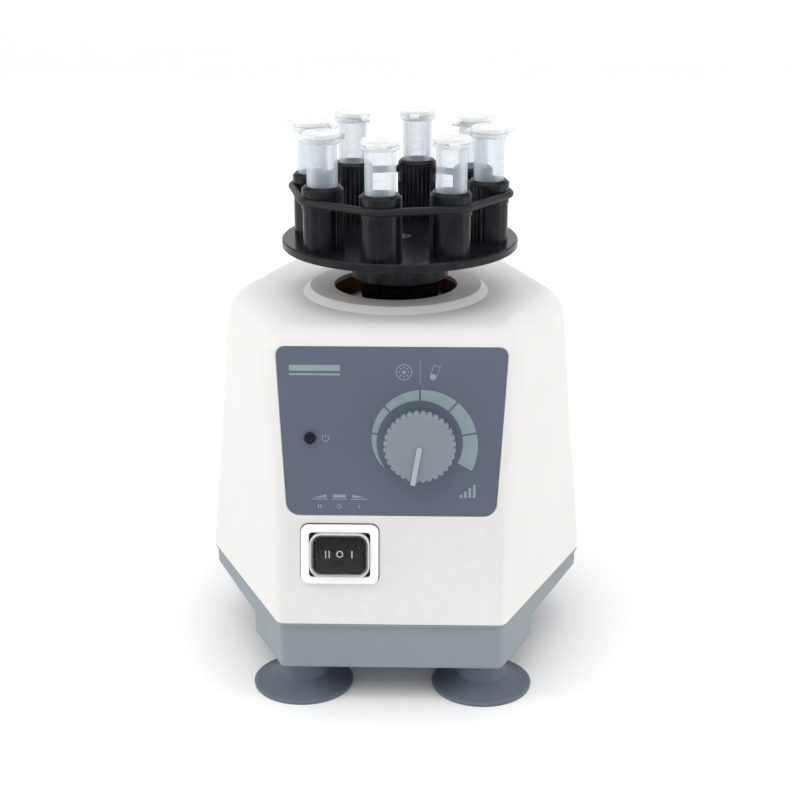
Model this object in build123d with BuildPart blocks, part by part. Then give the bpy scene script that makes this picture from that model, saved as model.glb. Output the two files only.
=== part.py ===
from build123d import *
import os
from math import cos, radians, sin, tan

# Vortex mixer: a sprung orbital head carries eight capped microtubes over a weighted housing
# with a speed knob, a three way touch / off / continuous rocker and a mains inlet.
# Millimetres, floor at Z 0, motor axis on the Z axis, control face towards -Y.

os.makedirs("parts", exist_ok=True)

# ---- driving dimensions -------------------------------------------------------------------
BASE_Z = 13.2            # underside of the tray
SPLIT_Z = 31.0           # joint between tray and housing
TOP_Z = 132.0            # flat top of the housing
WALL = 2.6
FACE_Y = -68.1           # control face at the split line
LEAN = 9.35              # control face leans back, degrees
MID_Y = 2.0              # plan is symmetric front to back about this line
FRONT_X = 39.0           # half width of the control face at the split line
FRONT_GROWTH = 0.0465    # extra half width of that face per mm of height
WIDE_X = 71.4            # sharp corner of the widest line, before rounding
WIDE_LOSS = 0.0870
FRONT_CORNER = 3.6       # corner radii of the plan at the split line, and their growth per mm
FRONT_CORNER_GROWTH = 0.085
SIDE_CORNER = 14.0
SIDE_CORNER_GROWTH = 0.18
SHOULDER_R = 10.0        # rounding of the top edge
SHOULDER_Z = TOP_Z - 12.0  # the hollow narrows above this height
COLLAR_TOP = 134.2
HOLE_R = 22.4

ECC = 1.5                # crank offset: the head orbits on a 3 mm circle
PLATE_TOP = 152.0
PLATE_R = 42.4
PITCH_R = 32.0           # pitch circle of the tube sleeves
SLEEVE_START = -100.5    # direction of the first sleeve, degrees from +X
SLEEVE_TOP = 174.0
SLEEVE_R = 7.1
SLEEVE_BORE = 5.7
BAND_Z = 169.0
BAND_OUT = 7.45          # band centreline, measured from a sleeve axis
BAND_R = 1.35

TUBE_FOOT = 152.3
TUBE_R = 5.35
RIM_TOP = 190.5
RIM_R = 6.6
LID_LOW = 190.8
LID_TOP = 192.5
HINGE_R = 8.2            # lid hinge line, measured from the tube axis
HINGE_Z = 190.0
HINGE_DIRECTIONS = (83.0, -84.0, 173.0, 218.0, 263.0, 308.0, 353.0, 38.0)

FOOT_X = 31.9
FOOT_Y = 52.2
FOOT_R = 17.8

SHAFT_R = 4.0
STACK_LOW = 66.0         # stator laminations
STACK_HIGH = 90.0
BRACKET_LOW = 47.0       # underside of the lower motor bracket
BRACKET_HIGH = 102.0     # underside of the upper motor bracket
POST_XY = 27.0

KNOB_AT = (9.6, 64.8)    # on the control face: across, up the slope from the split line
SWITCH_AT = (-17.6, 25.1)
LAMP_AT = (-27.65, 65.4)
BOARD_FIXINGS = ((-32, 86), (32, 86), (-30, 44), (30, 44))
POINTER_AT = -170.0      # slow end of the dial, degrees clockwise from straight up

FILM_CORNERS = ((-35.5, 38.7), (35.5, 38.7), (39.2, 96.5), (-39.2, 96.5))

UP = (Align.CENTER, Align.CENTER, Align.MIN)
SLOPE = tan(radians(LEAN))
FACE = Plane(
    origin=(0, FACE_Y, SPLIT_Z), x_dir=(1, 0, 0), z_dir=(0, -cos(radians(LEAN)), sin(radians(LEAN)))
)
BACK = Plane(
    origin=(0, 2 * MID_Y - FACE_Y, SPLIT_Z),
    x_dir=(-1, 0, 0),
    z_dir=(0, cos(radians(LEAN)), sin(radians(LEAN))),
)


def plan(z, inset):
    """Outline of the body at one height: a long hexagon with soft corners."""
    rise = z - SPLIT_Z
    edge_x = FRONT_X + FRONT_GROWTH * rise
    edge_y = MID_Y - FACE_Y - SLOPE * rise
    wide_x = WIDE_X - WIDE_LOSS * rise
    points = [
        (-edge_x, MID_Y - edge_y),
        (edge_x, MID_Y - edge_y),
        (wide_x, MID_Y),
        (edge_x, MID_Y + edge_y),
        (-edge_x, MID_Y + edge_y),
        (-wide_x, MID_Y),
    ]
    with BuildSketch(Plane.XY.offset(z)) as outline:
        Polygon(*points, align=None)
        fillet([v for v in outline.vertices() if abs(v.X) < 52], FRONT_CORNER + FRONT_CORNER_GROWTH * rise)
        fillet([v for v in outline.vertices() if abs(v.X) > 58], SIDE_CORNER + SIDE_CORNER_GROWTH * rise)
        if inset:
            offset(amount=-inset)
    return outline.sketch


def ring(z_low, z_high, r_out, r_in, x=0.0, y=0.0):
    """Add a plain ring to the current part."""
    with Locations((x, y, z_low)):
        Cylinder(r_out, z_high - z_low, align=UP)
        Cylinder(r_in, z_high - z_low, align=UP, mode=Mode.SUBTRACT)


# ---- housing --------------------------------------------------------------------------------
SCREWS = [(sx * 44.0, MID_Y + sy * 24.0) for sx in (-1, 1) for sy in (-1, 1)]

with BuildPart() as upper_housing:
    loft([plan(SPLIT_Z, 0), plan(TOP_Z, 0)])
    fillet(upper_housing.faces().sort_by(Axis.Z)[-1].edges(), SHOULDER_R)
    with Locations((0, 0, TOP_Z - 0.5)):
        Cone(34.2, 31.1, COLLAR_TOP - TOP_Z + 0.5, align=UP)
    loft([plan(SPLIT_Z - 0.01, WALL), plan(SHOULDER_Z, WALL)], mode=Mode.SUBTRACT)
    loft([plan(SHOULDER_Z, WALL), plan(TOP_Z - 3.4, WALL + 5.5)], mode=Mode.SUBTRACT)
    with Locations((0, 0, 120)):
        Cylinder(26.0, 12.6, align=UP, mode=Mode.SUBTRACT)
        Cylinder(HOLE_R, 20, align=UP, mode=Mode.SUBTRACT)
    # openings in the control face
    with BuildSketch(FACE):
        with Locations(SWITCH_AT):
            RectangleRounded(20.6, 15.0, 1.0)
        with Locations(KNOB_AT):
            Circle(3.6)
        with Locations(LAMP_AT):
            Circle(2.0)
    extrude(amount=-6, mode=Mode.SUBTRACT)
    # shallow pocket that takes the printed film
    with BuildSketch(FACE) as pocket:
        Polygon(*FILM_CORNERS, align=None)
        fillet(pocket.vertices().group_by(Axis.Y)[0], 4.5)
        fillet(pocket.vertices().group_by(Axis.Y)[-1], 2.8)
        offset(amount=0.25)
    extrude(amount=-0.8, mode=Mode.SUBTRACT)
    # openings in the back: mains inlet, fuse holder, cooling louvres
    with BuildSketch(BACK):
        with Locations((0, 24)):
            RectangleRounded(28.2, 20.4, 2.5)
        with Locations((-20, 24), (20, 24)):
            Circle(1.5)
        with Locations((0, 50)):
            Circle(6.25)
        with GridLocations(0, 4.5, 1, 5):
            with Locations((0, 76)):
                SlotOverall(44, 2.0)
    extrude(amount=-6, mode=Mode.SUBTRACT)
    # pillars that carry the control board behind the face
    with BuildSketch(FACE.offset(-WALL - 8)):
        with Locations(*BOARD_FIXINGS):
            Circle(3.0)
    extrude(amount=8.5)
    # screw pillars tied to the side walls
    for x, y in SCREWS:
        side = 1 if x > 0 else -1
        with Locations((x, y, SPLIT_Z + 1)):
            Cylinder(4.5, 26, align=UP)
            Cylinder(1.5, 20, align=UP, mode=Mode.SUBTRACT)
        with Locations((x + side * 8.5, y, SPLIT_Z + 3)):
            Box(10.6, 2.0, 24, align=UP)
upper_housing.part.label = "upper_housing"
export_step(upper_housing.part, "parts/upper_housing.step")

# ---- tray -----------------------------------------------------------------------------------
WING_X = 50.0            # finger grips under both sides start here
WING_LOW = 21.8
WING_HIGH = 24.4

with BuildPart() as wing_space:
    for side in (-1, 1):
        with BuildSketch(Plane.XZ):
            Polygon(
                (side * WING_X, 0), (side * WING_X, WING_LOW), (side * 75, WING_HIGH), (side * 75, 0),
                align=None,
            )
        extrude(amount=90, both=True)

with BuildPart() as wing_floor:
    for side in (-1, 1):
        with BuildSketch(Plane.XZ):
            Polygon(
                (side * (WING_X - WALL), 0),
                (side * (WING_X - WALL), WING_LOW + WALL),
                (side * 75, WING_HIGH + WALL),
                (side * 75, 0),
                align=None,
            )
        extrude(amount=90, both=True)

with BuildPart() as tray_hollow:
    with BuildSketch(Plane.XY.offset(BASE_Z + WALL)):
        add(plan(SPLIT_Z, WALL + 1.7).locate(Location((0, 0, 0))))
    extrude(amount=SPLIT_Z + 4 - BASE_Z - WALL)
    add(wing_floor.part, mode=Mode.SUBTRACT)

with BuildPart() as base_tray:
    with BuildSketch(Plane.XY.offset(BASE_Z)):
        add(plan(SPLIT_Z, 1.1).locate(Location((0, 0, 0))))
    extrude(amount=SPLIT_Z - BASE_Z - 1.2)
    fillet(base_tray.faces().sort_by(Axis.Z)[0].edges(), 1.2)
    # light lip that meets the housing, and the register that stands up inside it
    with BuildSketch(Plane.XY.offset(SPLIT_Z - 1.2)):
        add(plan(SPLIT_Z, 0.25).locate(Location((0, 0, 0))))
    extrude(amount=1.2)
    with BuildSketch(Plane.XY.offset(SPLIT_Z)):
        add(plan(SPLIT_Z + 2, WALL + 0.2).locate(Location((0, 0, 0))))
    extrude(amount=2.0)
    add(wing_space.part, mode=Mode.SUBTRACT)
    add(tray_hollow.part, mode=Mode.SUBTRACT)
    for x, y in SCREWS:
        with Locations((x, y, BASE_Z)):
            Cylinder(5.5, SPLIT_Z + 0.9 - BASE_Z, align=UP)
            Cylinder(3.7, 8.0, align=UP, mode=Mode.SUBTRACT)
            Cylinder(1.8, 30, align=UP, mode=Mode.SUBTRACT)
    for sx in (-1, 1):
        for sy in (-1, 1):
            with Locations((sx * FOOT_X, sy * FOOT_Y, BASE_Z)):
                Cylinder(3.2, 6, align=UP, mode=Mode.SUBTRACT)
base_tray.part.label = "base_tray"
export_step(base_tray.part, "parts/base_tray.step")

with BuildPart() as housing_screws:
    for x, y in SCREWS:
        with Locations((x, y, BASE_Z + 5.2)):
            Cylinder(3.3, 2.8, align=UP)
            Cylinder(1.45, 24, align=UP)
        with Locations((x, y, BASE_Z + 5.2)):
            Box(4.6, 0.9, 1.4, align=UP, mode=Mode.SUBTRACT)
            Box(0.9, 4.6, 1.4, align=UP, mode=Mode.SUBTRACT)
housing_screws.part.label = "housing_screws"
export_step(housing_screws.part, "parts/housing_screws.step")

with BuildPart() as ballast_plate:
    with BuildSketch(Plane.XY.offset(BASE_Z + WALL)):
        RectangleRounded(72, 78, 5)
    extrude(amount=6)
    with Locations((0, 0, BASE_Z + WALL + 4.8)):
        Box(26, 14, 1.2, align=UP, mode=Mode.SUBTRACT)
ballast_plate.part.label = "ballast_plate"
export_step(ballast_plate.part, "parts/ballast_plate.step")

# ---- suction feet ---------------------------------------------------------------------------
FEET = [(sx * FOOT_X, sy * FOOT_Y) for sx in (-1, 1) for sy in (-1, 1)]
FLOOR_TOP = BASE_Z + WALL

with BuildPart() as one_foot:
    with BuildSketch(Plane.XZ):
        Polygon(
            (0, 4.8), (6.9, 4.6), (8.6, 2.9), (10.5, 2.1), (13.6, 1.0), (16.2, 0.0), (FOOT_R, 0.0), (FOOT_R, 1.0),
            (15.2, 1.9), (12.2, 2.9), (10.0, 4.2), (8.9, 6.0), (8.6, 8.2), (8.6, BASE_Z), (3.1, BASE_Z),
            (3.1, FLOOR_TOP), (0, FLOOR_TOP),
            align=None,
        )
    revolve(axis=Axis.Z)
    with Locations((0, 0, 10.0)):
        Cylinder(1.6, 6, align=UP, mode=Mode.SUBTRACT)

with BuildPart() as suction_feet:
    for x, y in FEET:
        with Locations((x, y, 0)):
            add(one_foot.part)
suction_feet.part.label = "suction_feet"
export_step(suction_feet.part, "parts/suction_feet.step")

with BuildPart() as foot_screws:
    for x, y in FEET:
        with Locations((x, y, 10.8)):
            Cylinder(1.6, FLOOR_TOP - 10.8, align=UP)
        with Locations((x, y, FLOOR_TOP)):
            Cylinder(6.0, 0.9, align=UP)
            Cylinder(3.2, 2.9, align=UP)
        with Locations((x, y, FLOOR_TOP + 1.9)):
            Box(4.4, 0.9, 1.0, align=UP, mode=Mode.SUBTRACT)
            Box(0.9, 4.4, 1.0, align=UP, mode=Mode.SUBTRACT)
foot_screws.part.label = "foot_screws"
export_step(foot_screws.part, "parts/foot_screws.step")

# ---- control face ---------------------------------------------------------------------------
with BuildPart() as control_panel:
    with BuildSketch(FACE.offset(-0.8)) as film:
        Polygon(*FILM_CORNERS, align=None)
        fillet(film.vertices().group_by(Axis.Y)[0], 4.5)
        fillet(film.vertices().group_by(Axis.Y)[-1], 2.8)
        with Locations(KNOB_AT):
            Circle(3.6, mode=Mode.SUBTRACT)
        with Locations(LAMP_AT):
            Circle(2.0, mode=Mode.SUBTRACT)
    extrude(amount=0.5)
control_panel.part.label = "control_panel"
export_step(control_panel.part, "parts/control_panel.step")

with BuildPart() as lamp:
    with BuildSketch(FACE.offset(-WALL)):
        with Locations(LAMP_AT):
            Circle(1.98)
    extrude(amount=WALL + 1.3)
    fillet(lamp.edges().filter_by(GeomType.CIRCLE).sort_by(Axis.Y)[0], 0.7)
    with BuildSketch(FACE.offset(-WALL - 8)):
        with Locations(LAMP_AT):
            Circle(3.2)
    extrude(amount=8)
lamp.part.label = "lamp"
export_step(lamp.part, "parts/lamp.step")

with BuildPart() as potentiometer:
    with BuildSketch(FACE.offset(-WALL - 8)):
        with Locations(KNOB_AT):
            Circle(8.2)
    extrude(amount=8)
    with BuildSketch(FACE.offset(-WALL)):
        with Locations(KNOB_AT):
            Circle(3.5)
    extrude(amount=WALL + 3.0)
    with BuildSketch(FACE.offset(-8)):
        with Locations(KNOB_AT):
            Circle(3.06)
    extrude(amount=12, mode=Mode.SUBTRACT)
    with BuildSketch(FACE.offset(-0.3)):
        with Locations(KNOB_AT):
            RegularPolygon(5.0, 6, major_radius=False)
            Circle(3.5, mode=Mode.SUBTRACT)
    extrude(amount=2.0)
potentiometer.part.label = "potentiometer"
export_step(potentiometer.part, "parts/potentiometer.step")

with BuildPart() as knob_shaft:
    with BuildSketch(FACE.offset(-7)):
        with Locations(KNOB_AT):
            Circle(3.0)
    extrude(amount=17)
knob_shaft.part.label = "knob_shaft"
export_step(knob_shaft.part, "parts/knob_shaft.step")

KNOB_R = 12.1
KNOB_LOW = 0.5
KNOB_HIGH = 12.4
with BuildPart() as speed_knob:
    with BuildSketch(FACE.offset(KNOB_LOW)):
        with Locations(KNOB_AT):
            Circle(KNOB_R)
            with PolarLocations(KNOB_R + 0.45, 32):
                Circle(0.85, mode=Mode.SUBTRACT)
    extrude(amount=KNOB_HIGH - KNOB_LOW - 0.8)
    with BuildSketch(FACE.offset(KNOB_HIGH - 0.8)):
        with Locations(KNOB_AT):
            Circle(KNOB_R - 1.0)
    extrude(amount=0.8, taper=35)
    with BuildSketch(FACE.offset(KNOB_LOW)):
        with Locations(KNOB_AT):
            Circle(7.0)
    extrude(amount=3.2, mode=Mode.SUBTRACT)
    with BuildSketch(FACE.offset(KNOB_LOW)):
        with Locations(KNOB_AT):
            Circle(3.0)
    extrude(amount=9.5, mode=Mode.SUBTRACT)
speed_knob.part.label = "speed_knob"
export_step(speed_knob.part, "parts/speed_knob.step")

with BuildPart() as knob_pointer:
    with BuildSketch(FACE.offset(KNOB_HIGH)):
        with Locations(KNOB_AT):
            with Locations(Location((0, 0, 0), (0, 0, -POINTER_AT))):
                with Locations((0, 6.1)):
                    RectangleRounded(1.7, 12.6, 0.8)
    extrude(amount=0.9)
    with BuildSketch(FACE.offset(KNOB_LOW)):
        with Locations(KNOB_AT):
            with Locations(Location((0, 0, 0), (0, 0, -POINTER_AT))):
                with Locations((0, KNOB_R + 0.3)):
                    Rectangle(1.7, 0.6)
    extrude(amount=KNOB_HIGH - KNOB_LOW)
    with BuildSketch(FACE.offset(KNOB_HIGH)):
        with Locations(KNOB_AT):
            with Locations(Location((0, 0, 0), (0, 0, -POINTER_AT))):
                with Locations((0, KNOB_R + 0.2)):
                    Rectangle(1.7, 0.8)
    extrude(amount=0.9)
knob_pointer.part.label = "knob_pointer"
export_step(knob_pointer.part, "parts/knob_pointer.step")

# ---- three way rocker switch ----------------------------------------------------------------
with BuildPart() as switch_bezel:
    with BuildSketch(FACE):
        with Locations(SWITCH_AT):
            RectangleRounded(26.5, 20.8, 2.6)
    extrude(amount=1.9)
    chamfer(switch_bezel.faces().sort_by(Axis.Y)[0].edges(), 0.5)
    with BuildSketch(FACE):
        with Locations(SWITCH_AT):
            RectangleRounded(21.0, 15.8, 1.2)
    extrude(amount=3, mode=Mode.SUBTRACT)
switch_bezel.part.label = "switch_bezel"
export_step(switch_bezel.part, "parts/switch_bezel.step")

with BuildPart() as switch_body:
    with BuildSketch(FACE):
        with Locations(SWITCH_AT):
            RectangleRounded(21.0, 15.8, 1.2)
    extrude(amount=1.0)
    with BuildSketch(FACE.offset(-17)):
        with Locations(SWITCH_AT):
            RectangleRounded(20.2, 14.6, 0.9)
    extrude(amount=17)
    with BuildSketch(FACE.offset(-11)):
        with Locations(SWITCH_AT):
            Rectangle(19.2, 13.6)
    extrude(amount=13, mode=Mode.SUBTRACT)
    with BuildSketch(FACE.offset(-24)):
        with Locations(SWITCH_AT):
            with GridLocations(7.0, 7.0, 3, 2):
                Rectangle(0.8, 4.8)
    extrude(amount=7)
switch_body.part.label = "switch_body"
export_step(switch_body.part, "parts/switch_body.step")

ROCKER_SIDE = Plane(
    origin=FACE.from_local_coords((SWITCH_AT[0], SWITCH_AT[1], 0)), x_dir=(1, 0, 0), z_dir=-FACE.y_dir
)
with BuildPart() as rocker:
    with BuildSketch(ROCKER_SIDE) as rocker_profile:
        Polygon(
            (-8.4, 1.7), (0, 0.9), (8.4, 1.7), (7.9, -2.4), (2.2, -6.0), (-2.2, -6.0), (-7.9, -2.4),
            align=None,
        )
        fillet(rocker_profile.vertices().sort_by(Axis.Y)[-2:], 0.7)
    extrude(amount=6.35, both=True)
    with BuildSketch(FACE.offset(-8)):
        with Locations(SWITCH_AT):
            RectangleRounded(16.8, 12.7, 2.6)
    extrude(amount=12, mode=Mode.INTERSECT)
rocker.part.label = "rocker"
export_step(rocker.part, "parts/rocker.step")

with BuildPart() as splash_cover:
    with BuildSketch(FACE.offset(1.0)):
        with Locations(SWITCH_AT):
            RectangleRounded(20.2, 15.2, 3.9)
    extrude(amount=3.3)
    fillet(splash_cover.faces().sort_by(Axis.Y)[0].edges(), 1.2)
    with BuildSketch(FACE.offset(1.0)):
        with Locations(SWITCH_AT):
            RectangleRounded(19.2, 14.2, 3.4)
    extrude(amount=2.7, mode=Mode.SUBTRACT)
splash_cover.part.label = "splash_cover"
export_step(splash_cover.part, "parts/splash_cover.step")

# ---- mains inlet and fuse on the back -------------------------------------------------------
INLET_PINS = ((-7, 21.6), (7, 21.6), (0, 27.0))
with BuildPart() as mains_inlet:
    with BuildSketch(BACK):
        with Locations((0, 24)):
            RectangleRounded(50, 22.6, 3)
    extrude(amount=2.6)
    with BuildSketch(BACK.offset(-17)):
        with Locations((0, 24)):
            RectangleRounded(27.8, 20.0, 2.3)
    extrude(amount=17)
    with BuildSketch(BACK.offset(-14)) as socket:
        with Locations((0, 24)):
            Rectangle(24.2, 16.4)
        chamfer(socket.vertices().group_by(Axis.Y)[-1], 3.6)
    extrude(amount=20, mode=Mode.SUBTRACT)
    with BuildSketch(BACK):
        with Locations((-20, 24), (20, 24)):
            Circle(1.7)
    extrude(amount=4, mode=Mode.SUBTRACT)
    with BuildSketch(BACK.offset(-17)):
        with Locations(*INLET_PINS):
            Rectangle(2.0, 4.0)
    extrude(amount=4, mode=Mode.SUBTRACT)
mains_inlet.part.label = "mains_inlet"
export_step(mains_inlet.part, "parts/mains_inlet.step")

with BuildPart() as inlet_pins:
    with BuildSketch(BACK.offset(-22)):
        with Locations(*INLET_PINS):
            Rectangle(2.0, 4.0)
    extrude(amount=21)
inlet_pins.part.label = "inlet_pins"
export_step(inlet_pins.part, "parts/inlet_pins.step")

with BuildPart() as inlet_screws:
    with BuildSketch(BACK.offset(-4)):
        with Locations((-20, 24), (20, 24)):
            Circle(1.5)
    extrude(amount=6.6)
    with BuildSketch(BACK.offset(2.6)):
        with Locations((-20, 24), (20, 24)):
            Circle(2.9)
    extrude(amount=1.4)
    with BuildSketch(BACK.offset(3.2)):
        with Locations((-20, 24), (20, 24)):
            Rectangle(4.2, 0.8)
            Rectangle(0.8, 4.2)
    extrude(amount=1, mode=Mode.SUBTRACT)
inlet_screws.part.label = "inlet_screws"
export_step(inlet_screws.part, "parts/inlet_screws.step")

with BuildPart() as fuse_holder:
    with BuildSketch(BACK):
        with Locations((0, 50)):
            Circle(8.2)
    extrude(amount=1.8)
    with BuildSketch(BACK.offset(-26)):
        with Locations((0, 50)):
            Circle(6.25)
    extrude(amount=26)
    with BuildSketch(BACK.offset(1.8)):
        with Locations((0, 50)):
            Circle(6.8)
            with PolarLocations(7.2, 16):
                Circle(0.7, mode=Mode.SUBTRACT)
    extrude(amount=3.6)
    with BuildSketch(BACK.offset(4.4)):
        with Locations((0, 50)):
            Rectangle(9.0, 1.4)
    extrude(amount=2, mode=Mode.SUBTRACT)
fuse_holder.part.label = "fuse_holder"
export_step(fuse_holder.part, "parts/fuse_holder.step")

# ---- motor ----------------------------------------------------------------------------------
CORNERS = [(sx * POST_XY, sy * POST_XY) for sx in (-1, 1) for sy in (-1, 1)]
PLATE_UNDER = BASE_Z + WALL + 6

with BuildPart() as motor_mounts:
    for x, y in CORNERS:
        with Locations((x, y, PLATE_UNDER)):
            Cylinder(6.5, 3, align=UP)
            Cylinder(5.2, 12, align=UP)
        with Locations((x, y, PLATE_UNDER + 9)):
            Cylinder(6.5, 3, align=UP)
motor_mounts.part.label = "motor_mounts"
export_step(motor_mounts.part, "parts/motor_mounts.step")

with BuildPart() as motor_posts:
    for x, y in CORNERS:
        with Locations((x, y, PLATE_UNDER + 12)):
            Cylinder(3.6, BRACKET_LOW - PLATE_UNDER - 12, align=UP)
        with Locations((x, y, BRACKET_LOW + 4)):
            Cylinder(3.6, STACK_LOW - BRACKET_LOW - 4, align=UP)
        with Locations((x, y, STACK_HIGH)):
            Cylinder(3.6, BRACKET_HIGH - STACK_HIGH, align=UP)
        with BuildSketch(Plane.XY.offset(BRACKET_HIGH + 4)):
            with Locations((x, y)):
                RegularPolygon(3.5, 6, major_radius=False)
        extrude(amount=3.0)
        with Locations((x, y, BRACKET_HIGH + 7)):
            Cylinder(1.9, 2.0, align=UP)
motor_posts.part.label = "motor_posts"
export_step(motor_posts.part, "parts/motor_posts.step")

with BuildPart() as motor_bottom_bracket:
    with BuildSketch(Plane.XY.offset(BRACKET_LOW)):
        RectangleRounded(66, 66, 7)
        with GridLocations(38, 38, 2, 2):
            Circle(7.5, mode=Mode.SUBTRACT)
    extrude(amount=4)
    with Locations((0, 0, 34.5)):
        Cylinder(12.5, 25.5, align=UP)
        Cylinder(4.6, 2.0, align=UP, mode=Mode.SUBTRACT)
    with Locations((0, 0, 36.5)):
        Cylinder(9.06, 15.5, align=UP, mode=Mode.SUBTRACT)
    with Locations((0, 0, 52)):
        Cylinder(8.0, 8.0, align=UP, mode=Mode.SUBTRACT)
motor_bottom_bracket.part.label = "motor_bottom_bracket"
export_step(motor_bottom_bracket.part, "parts/motor_bottom_bracket.step")

with BuildPart() as stator_core:
    with BuildSketch(Plane.XY.offset(STACK_LOW)) as lamination:
        Rectangle(66, 66)
        chamfer(lamination.vertices(), 5)
        Circle(18.5, mode=Mode.SUBTRACT)
        for spoke in range(4):
            with Locations(Location((0, 0, 0), (0, 0, 90 * spoke + 45))):
                with Locations((23.5, 0)):
                    RectangleRounded(7.5, 17, 2.5, mode=Mode.SUBTRACT)
    extrude(amount=STACK_HIGH - STACK_LOW)
stator_core.part.label = "stator_core"
export_step(stator_core.part, "parts/stator_core.step")

with BuildPart() as stator_coils:
    for z_low, z_high in ((STACK_LOW - 6, STACK_LOW), (STACK_HIGH, STACK_HIGH + 6)):
        ring(z_low, z_high, 28.0, 20.5)
    fillet(stator_coils.edges().filter_by(GeomType.CIRCLE).group_by(Axis.Z)[0], 2.2)
    fillet(stator_coils.edges().filter_by(GeomType.CIRCLE).group_by(Axis.Z)[-1], 2.2)
stator_coils.part.label = "stator_coils"
export_step(stator_coils.part, "parts/stator_coils.step")

with BuildPart() as motor_top_bracket:
    with BuildSketch(Plane.XY.offset(BRACKET_HIGH)):
        RectangleRounded(66, 66, 7)
        with GridLocations(38, 38, 2, 2):
            Circle(6.0, mode=Mode.SUBTRACT)
    extrude(amount=4)
    with Locations((0, 0, BRACKET_HIGH - 3)):
        Cylinder(12, 9, align=UP)
        Cylinder(8, 9, align=UP, mode=Mode.SUBTRACT)
    # fixed pins in oversize holes let the head orbit but not spin
    with Locations((0, 0, BRACKET_HIGH)):
        with PolarLocations(22, 4):
            Cylinder(4.2, 6, align=UP)
            Cylinder(2.0, 19.8, align=UP)
motor_top_bracket.part.label = "motor_top_bracket"
export_step(motor_top_bracket.part, "parts/motor_top_bracket.step")

with BuildPart() as motor_bushes:
    ring(52, 60, 8.0, SHAFT_R + 0.05)
    ring(BRACKET_HIGH - 3, BRACKET_HIGH + 6, 8.0, SHAFT_R + 0.05)
motor_bushes.part.label = "motor_bushes"
export_step(motor_bushes.part, "parts/motor_bushes.step")

# ---- rotor ----------------------------------------------------------------------------------
with BuildPart() as rotor_core:
    ring(STACK_LOW, STACK_HIGH + 1.5, 17.9, SHAFT_R)
    for z in (STACK_LOW - 2.5, STACK_HIGH + 1.5):
        ring(z, z + 2.5, 17.0, 11.0)
rotor_core.part.label = "rotor_core"
export_step(rotor_core.part, "parts/rotor_core.step")

with BuildPart() as motor_shaft:
    with Locations((0, 0, 45.35)):
        Cylinder(SHAFT_R, 69.25, align=UP)
    chamfer(motor_shaft.faces().sort_by(Axis.Z)[0].edges(), 0.6)
motor_shaft.part.label = "motor_shaft"
export_step(motor_shaft.part, "parts/motor_shaft.step")

with BuildPart() as cooling_fan:
    ring(94.4, 98.4, 7.0, SHAFT_R)
    with BuildSketch(Plane.XY.offset(94.4)):
        with PolarLocations(12.6, 9):
            Rectangle(13, 1.2, rotation=22)
    extrude(amount=3.6)
cooling_fan.part.label = "cooling_fan"
export_step(cooling_fan.part, "parts/cooling_fan.step")

with BuildPart() as eccentric:
    with BuildSketch(Plane.XY.offset(111)):
        Circle(17.0)
        with Locations((14, 0)):
            Rectangle(22, 40, mode=Mode.SUBTRACT)
        Circle(8.5)
    extrude(amount=4.6)
    with Locations((0, 0, 111)):
        Cylinder(SHAFT_R, 3.6, align=UP, mode=Mode.SUBTRACT)
    with Locations((ECC, 0, 115.6)):
        Cylinder(6.2, 3.0, align=UP)
        Cylinder(SHAFT_R, 23.4, align=UP)
    chamfer(eccentric.faces().sort_by(Axis.Z)[-1].edges(), 0.5)
eccentric.part.label = "eccentric"
export_step(eccentric.part, "parts/eccentric.step")

BEARING_LEVELS = (121.0, 131.0)
with BuildPart() as bearing_inner_races:
    for z in BEARING_LEVELS:
        ring(z, z + 7, 6.2, SHAFT_R, x=ECC)
bearing_inner_races.part.label = "bearing_inner_races"
export_step(bearing_inner_races.part, "parts/bearing_inner_races.step")

with BuildPart() as bearing_outer_races:
    for z in BEARING_LEVELS:
        ring(z, z + 7, 11.0, 8.9, x=ECC)
        with Locations((ECC, 0, z + 3.5)):
            with PolarLocations(7.75, 8):
                Sphere(1.2)
bearing_outer_races.part.label = "bearing_outer_races"
export_step(bearing_outer_races.part, "parts/bearing_outer_races.step")

# ---- thrust seat and touch switch -----------------------------------------------------------
with BuildPart() as thrust_seat:
    with Locations((0, 0, 34.2)):
        Cylinder(3.5, 9.3, align=UP)
    with Locations((0, 0, 43.5)):
        Cylinder(9.0, 3.0, align=UP)
    with Locations((0, 0, 46.5)):
        Cylinder(6.2, 3.4, align=UP)
    with Locations((0, 0, 45.0)):
        Cylinder(SHAFT_R + 0.06, 6, align=UP, mode=Mode.SUBTRACT)
thrust_seat.part.label = "thrust_seat"
export_step(thrust_seat.part, "parts/thrust_seat.step")

SPRING_LOW = 36.5
WIRE_R = 0.45
SPRING_HIGH = 43.2
with BuildPart() as return_spring:
    coil = Helix(pitch=2.05, height=SPRING_HIGH - SPRING_LOW - 2 * WIRE_R, radius=6.6)
    coil = Pos(0, 0, SPRING_LOW + WIRE_R) * coil
    with BuildSketch(Plane(origin=coil @ 0, z_dir=coil % 0)):
        Circle(WIRE_R)
    sweep(path=coil)
return_spring.part.label = "return_spring"
export_step(return_spring.part, "parts/return_spring.step")

with BuildPart() as touch_switch:
    with Locations((0, 0, PLATE_UNDER)):
        Box(20, 8, 9.8, align=UP)
    with Locations((0, 0, 27)):
        Cylinder(1.56, 10, align=UP, mode=Mode.SUBTRACT)
    with Locations((-7.5, 0, 26), (7.5, 0, 26)):
        Cylinder(1.2, 10, rotation=(90, 0, 0), mode=Mode.SUBTRACT)
touch_switch.part.label = "touch_switch"
export_step(touch_switch.part, "parts/touch_switch.step")

with BuildPart() as switch_plunger:
    with Locations((0, 0, 29)):
        Cylinder(1.5, 4.9, align=UP)
    fillet(switch_plunger.faces().sort_by(Axis.Z)[-1].edges(), 0.4)
switch_plunger.part.label = "switch_plunger"
export_step(switch_plunger.part, "parts/switch_plunger.step")

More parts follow.
